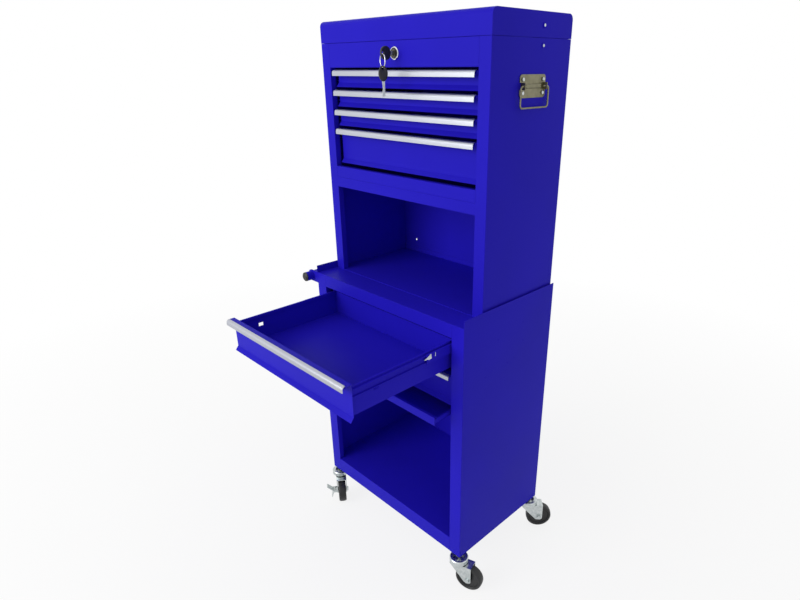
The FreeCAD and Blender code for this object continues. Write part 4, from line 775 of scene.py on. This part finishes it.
@dataclass
class Rivets:
    """Domed rivet heads: bright on the side handles and the stays, painted on the lower sides."""

    frame: dict
    materials: dict[Surface, bpy.types.Material]
    anchor: Vector
    side_face: float = 218.0 * MM
    side_radius: float = 1.9 * MM
    side_rise: float = 0.6 * MM
    # Back from the cabinet's front and up from the floor, in millimetres
    side_spots: tuple[tuple[float, float], ...] = (
        (64, 491), (84, 498), (130, 498), (151, 503), (98, 558), (178, 531), (174, 571),
    )
    stay_face: float = 215.2 * MM
    stay_radius: float = 2.4 * MM
    stay_rise: float = 0.75 * MM
    handle_face: float = 216.6 * MM
    handle_radius: float = 3.1 * MM
    handle_rise: float = 1.6 * MM
    # The handle plate's place and size and the rivets' distance from its edges, in millimetres
    handle_start: float = 125.0
    handle_middle: float = 996.75
    handle_length: float = 70.0
    handle_half: float = 17.75
    handle_inset: float = 7.5
    dome_segments: int = 20
    dome_rings: int = 12

    def dome(self, mesh: bmesh.types.BMesh, spot: Vector, side: Side, radius: float,
             rise: float) -> None:
        """Add one low dome to a mesh.

        Args:
            mesh: the shape that it joins.
            spot: the middle of its foot.
            side: the side of the cabinet that it stands out from.
            radius: its foot's radius.
            rise: how far it stands proud.
        """
        made = bmesh.ops.create_uvsphere(mesh, u_segments=self.dome_segments,
                                         v_segments=self.dome_rings, radius=1.0)
        verts = made["verts"]
        bmesh.ops.scale(mesh, vec=(rise, radius, radius), verts=verts)
        for vert in verts:
            if vert.co.x * side.value < 0:
                vert.co.x = 0.0
        bmesh.ops.translate(mesh, vec=spot, verts=verts)

    def side_rivets(self, side: Side) -> None:
        """Build the painted rivets of a lower side.

        Args:
            side: the side that they are on.
        """
        mesh = bmesh.new()
        for back, up in self.side_spots:
            spot = self.anchor + Vector((side.value * self.side_face, back * MM, up * MM))
            self.dome(mesh, spot, side, self.side_radius, self.side_rise)
        finish_piece(f"side_rivets_{side.title}", mesh, self.materials[Surface.PAINT], "cabinet")

    def handle_rivets(self, side: Side) -> None:
        """Build the four bright rivets of a side handle.

        Args:
            side: the side that they are on.
        """
        mesh = bmesh.new()
        reach = self.handle_half - self.handle_inset
        for back in (self.handle_inset, self.handle_length - self.handle_inset):
            for up in (-reach, reach):
                spot = self.anchor + Vector((
                    side.value * self.handle_face,
                    (self.handle_start + back) * MM,
                    (self.handle_middle + up) * MM,
                ))
                self.dome(mesh, spot, side, self.handle_radius, self.handle_rise)
        finish_piece(f"handle_rivets_{side.title}", mesh, self.materials[Surface.ZINC], "cabinet")

    def stay_rivets(self, side: Side) -> None:
        """Build a bright rivet at the pivot of each link of a stay.

        Args:
            side: the side that the stay is on.
        """
        for link in (f"stay_lower_{side.title}", f"stay_upper_{side.title}"):
            pivot = joint_named(self.frame, f"{link}_turn")["pos_m"]
            mesh = bmesh.new()
            spot = Vector((self.anchor.x + side.value * self.stay_face, pivot[1], pivot[2]))
            self.dome(mesh, spot, side, self.stay_radius, self.stay_rise)
            finish_piece(f"{link}_rivet", mesh, self.materials[Surface.ZINC], link)

    def build(self) -> None:
        """Build the rivets of both sides."""
        for side in Side:
            self.side_rivets(side)
            self.handle_rivets(side)
            self.stay_rivets(side)


@dataclass(frozen=True)
class Lamp:
    """A square soft lamp: where it hangs, its side in metres and its power in watts."""

    name: str
    spot: tuple[float, float, float]
    size: float
    power: float


@dataclass
class Studio:
    """The pale floor, the soft lamps and the camera."""

    anchor: Vector
    camera_spot: tuple[float, float, float] = (0.811672, -0.674565, 1.024399)
    azimuth: float = 44.899
    elevation: float = 23.867
    roll: float = -0.25
    lens: float = 25.775
    shift: tuple[float, float] = (-0.0398, 0.0268)
    sensor: float = 36.0
    clip_start: float = 0.01
    floor_colour: str = "#F4F4F4"
    floor_roughness: float = 0.9
    floor_half: float = 12.0
    floor_white: float = 0.84
    fade: tuple[float, float] = (0.5, 2.0)
    ambient: float = 0.50
    lamp_target: tuple[float, float, float] = (0.0, 0.0, 0.6)
    lamps: tuple[Lamp, ...] = (
        Lamp("front_lamp", (-0.7, -2.6, 1.5), 1.8, 42.0),
        Lamp("top_lamp", (0.2, -0.2, 3.0), 1.8, 3.0),
        Lamp("side_lamp", (2.6, 0.2, 1.0), 1.6, 1.0),
    )

    def camera(self) -> None:
        """Stand the camera where the photograph was taken from."""
        turn, lift = math.radians(self.azimuth), math.radians(self.elevation)
        level = math.cos(lift)
        back = Vector((math.sin(turn) * level, -math.cos(turn) * level, math.sin(lift)))
        right = (-back).cross(Vector((0, 0, 1))).normalized()
        up = right.cross(-back)
        lean = math.radians(self.roll)
        across = right * math.cos(lean) + up * math.sin(lean)
        above = up * math.cos(lean) - right * math.sin(lean)
        data = bpy.data.cameras.new("photo_camera")
        data.sensor_width = self.sensor
        data.sensor_fit = "HORIZONTAL"
        data.lens = self.lens
        data.shift_x, data.shift_y = self.shift
        data.clip_start = self.clip_start
        item = bpy.data.objects.new("photo_camera", data)
        basis = Matrix((across, above, back)).transposed().to_4x4()
        item.matrix_world = Matrix.Translation(self.anchor + Vector(self.camera_spot)) @ basis
        bpy.context.scene.collection.objects.link(item)
        bpy.context.scene.camera = item

    def hang(self, lamp: Lamp) -> None:
        """Hang a lamp that looks at the cabinet.

        Args:
            lamp: the lamp.
        """
        data = bpy.data.lights.new(lamp.name, "AREA")
        data.size = lamp.size
        data.energy = lamp.power
        item = bpy.data.objects.new(lamp.name, data)
        item.location = lamp.spot
        aim = Vector(self.lamp_target) - Vector(lamp.spot)
        item.rotation_euler = aim.to_track_quat("-Z", "Y").to_euler()
        bpy.context.scene.collection.objects.link(item)

    def backdrop_rays(self, tree: bpy.types.NodeTree) -> bpy.types.NodeSocket:
        """Pick the rays that see the backdrop: from the camera, off gloss and through glass.

        Args:
            tree: the node tree of the floor or the world.

        Returns:
            A socket that is 1 for those rays and 0 for the others.
        """
        path = add_node(tree, "ShaderNodeLightPath", {}, {})
        seen = path.outputs["Is Camera Ray"]
        for ray in ("Is Glossy Ray", "Is Transmission Ray"):
            either = add_node(tree, "ShaderNodeMath", {"operation": "MAXIMUM"},
                              {0: seen, 1: path.outputs[ray]})
            seen = either.outputs[0]
        return seen

    def floor_material(self) -> bpy.types.Material:
        """Make the floor's material.

        Returns:
            A material that keeps a light shadow near the cabinet and fades to plain white.
        """
        material = bpy.data.materials.new("pale_studio_floor")
        material.use_nodes = True
        tree = material.node_tree
        shader = tree.nodes["Principled BSDF"]
        shader.inputs["Base Color"].default_value = linear(self.floor_colour)
        shader.inputs["Roughness"].default_value = self.floor_roughness
        place = add_node(tree, "ShaderNodeTexCoord", {}, {}).outputs["Object"]
        reach = add_node(tree, "ShaderNodeVectorMath", {"operation": "LENGTH"}, {"Vector": place})
        near, far = self.fade
        share = add_node(
            tree,
            "ShaderNodeMapRange",
            {"From Min": near, "From Max": far, "To Min": self.floor_white, "To Max": 1.0},
            {"Value": reach.outputs["Value"]},
        )
        shown = add_node(tree, "ShaderNodeMath", {"operation": "MULTIPLY"},
                         {0: share.outputs["Result"], 1: self.backdrop_rays(tree)})
        white = add_node(tree, "ShaderNodeEmission", {"Color": WHITE, "Strength": 1.0}, {})
        mixed = add_node(
            tree,
            "ShaderNodeMixShader",
            {},
            {"Fac": shown.outputs[0], 1: shader.outputs["BSDF"], 2: white.outputs["Emission"]},
        )
        tree.links.new(mixed.outputs["Shader"], tree.nodes["Material Output"].inputs["Surface"])
        return material

    def backdrop(self) -> None:
        """Lay the floor and make the world white to the rays that see it."""
        mesh = bmesh.new()
        bmesh.ops.create_grid(mesh, x_segments=1, y_segments=1, size=self.floor_half)
        data = bpy.data.meshes.new("studio_floor")
        mesh.to_mesh(data)
        mesh.free()
        data.materials.append(self.floor_material())
        floor = bpy.data.objects.new("studio_floor", data)
        bpy.context.scene.collection.objects.link(floor)
        world = bpy.data.worlds.new("studio_world")
        bpy.context.scene.world = world
        world.use_nodes = True
        tree = world.node_tree
        tree.nodes.clear()
        plain = add_node(tree, "ShaderNodeBackground",
                         {"Color": WHITE, "Strength": self.ambient}, {})
        white = add_node(tree, "ShaderNodeBackground", {"Color": WHITE, "Strength": 1.0}, {})
        mixed = add_node(
            tree,
            "ShaderNodeMixShader",
            {},
            {"Fac": self.backdrop_rays(tree), 1: plain.outputs[0], 2: white.outputs[0]},
        )
        add_node(tree, "ShaderNodeOutputWorld", {}, {"Surface": mixed.outputs[0]})

    def build(self) -> None:
        """Set up the whole studio."""
        bpy.context.scene.view_settings.view_transform = "Standard"
        self.camera()
        self.backdrop()
        for lamp in self.lamps:
            self.hang(lamp)


def main() -> None:
    """Dress the CAD nodes, build the new pieces and set up the studio."""
    logging.basicConfig(level=logging.INFO)
    materials = {surface: surface.value.build() for surface in Surface}
    anchor = cabinet_anchor()
    Studio(anchor).build()
    CaseWork(frame, materials).dress()
    Keys(materials).build()
    wheel = Wheel(frame, materials[Surface.PLASTIC])
    for corner in Corner:
        wheel.build(corner)
    pull = Pull(materials[Surface.ALUMINIUM])
    for number in DRAWERS:
        pull.build(number)
    catch = SlideCatch(materials[Surface.ZINC])
    for number in LOWER_DRAWERS:
        catch.build(number)
    bail = Bail(materials[Surface.OLIVE])
    for side in Side:
        bail.build(side)
    # The painted shade ring on the lock's face
    LockFace(materials[Surface.RECESS]).build()
    Rivets(frame, materials, anchor).build()


if __name__ == "__main__":
    main()
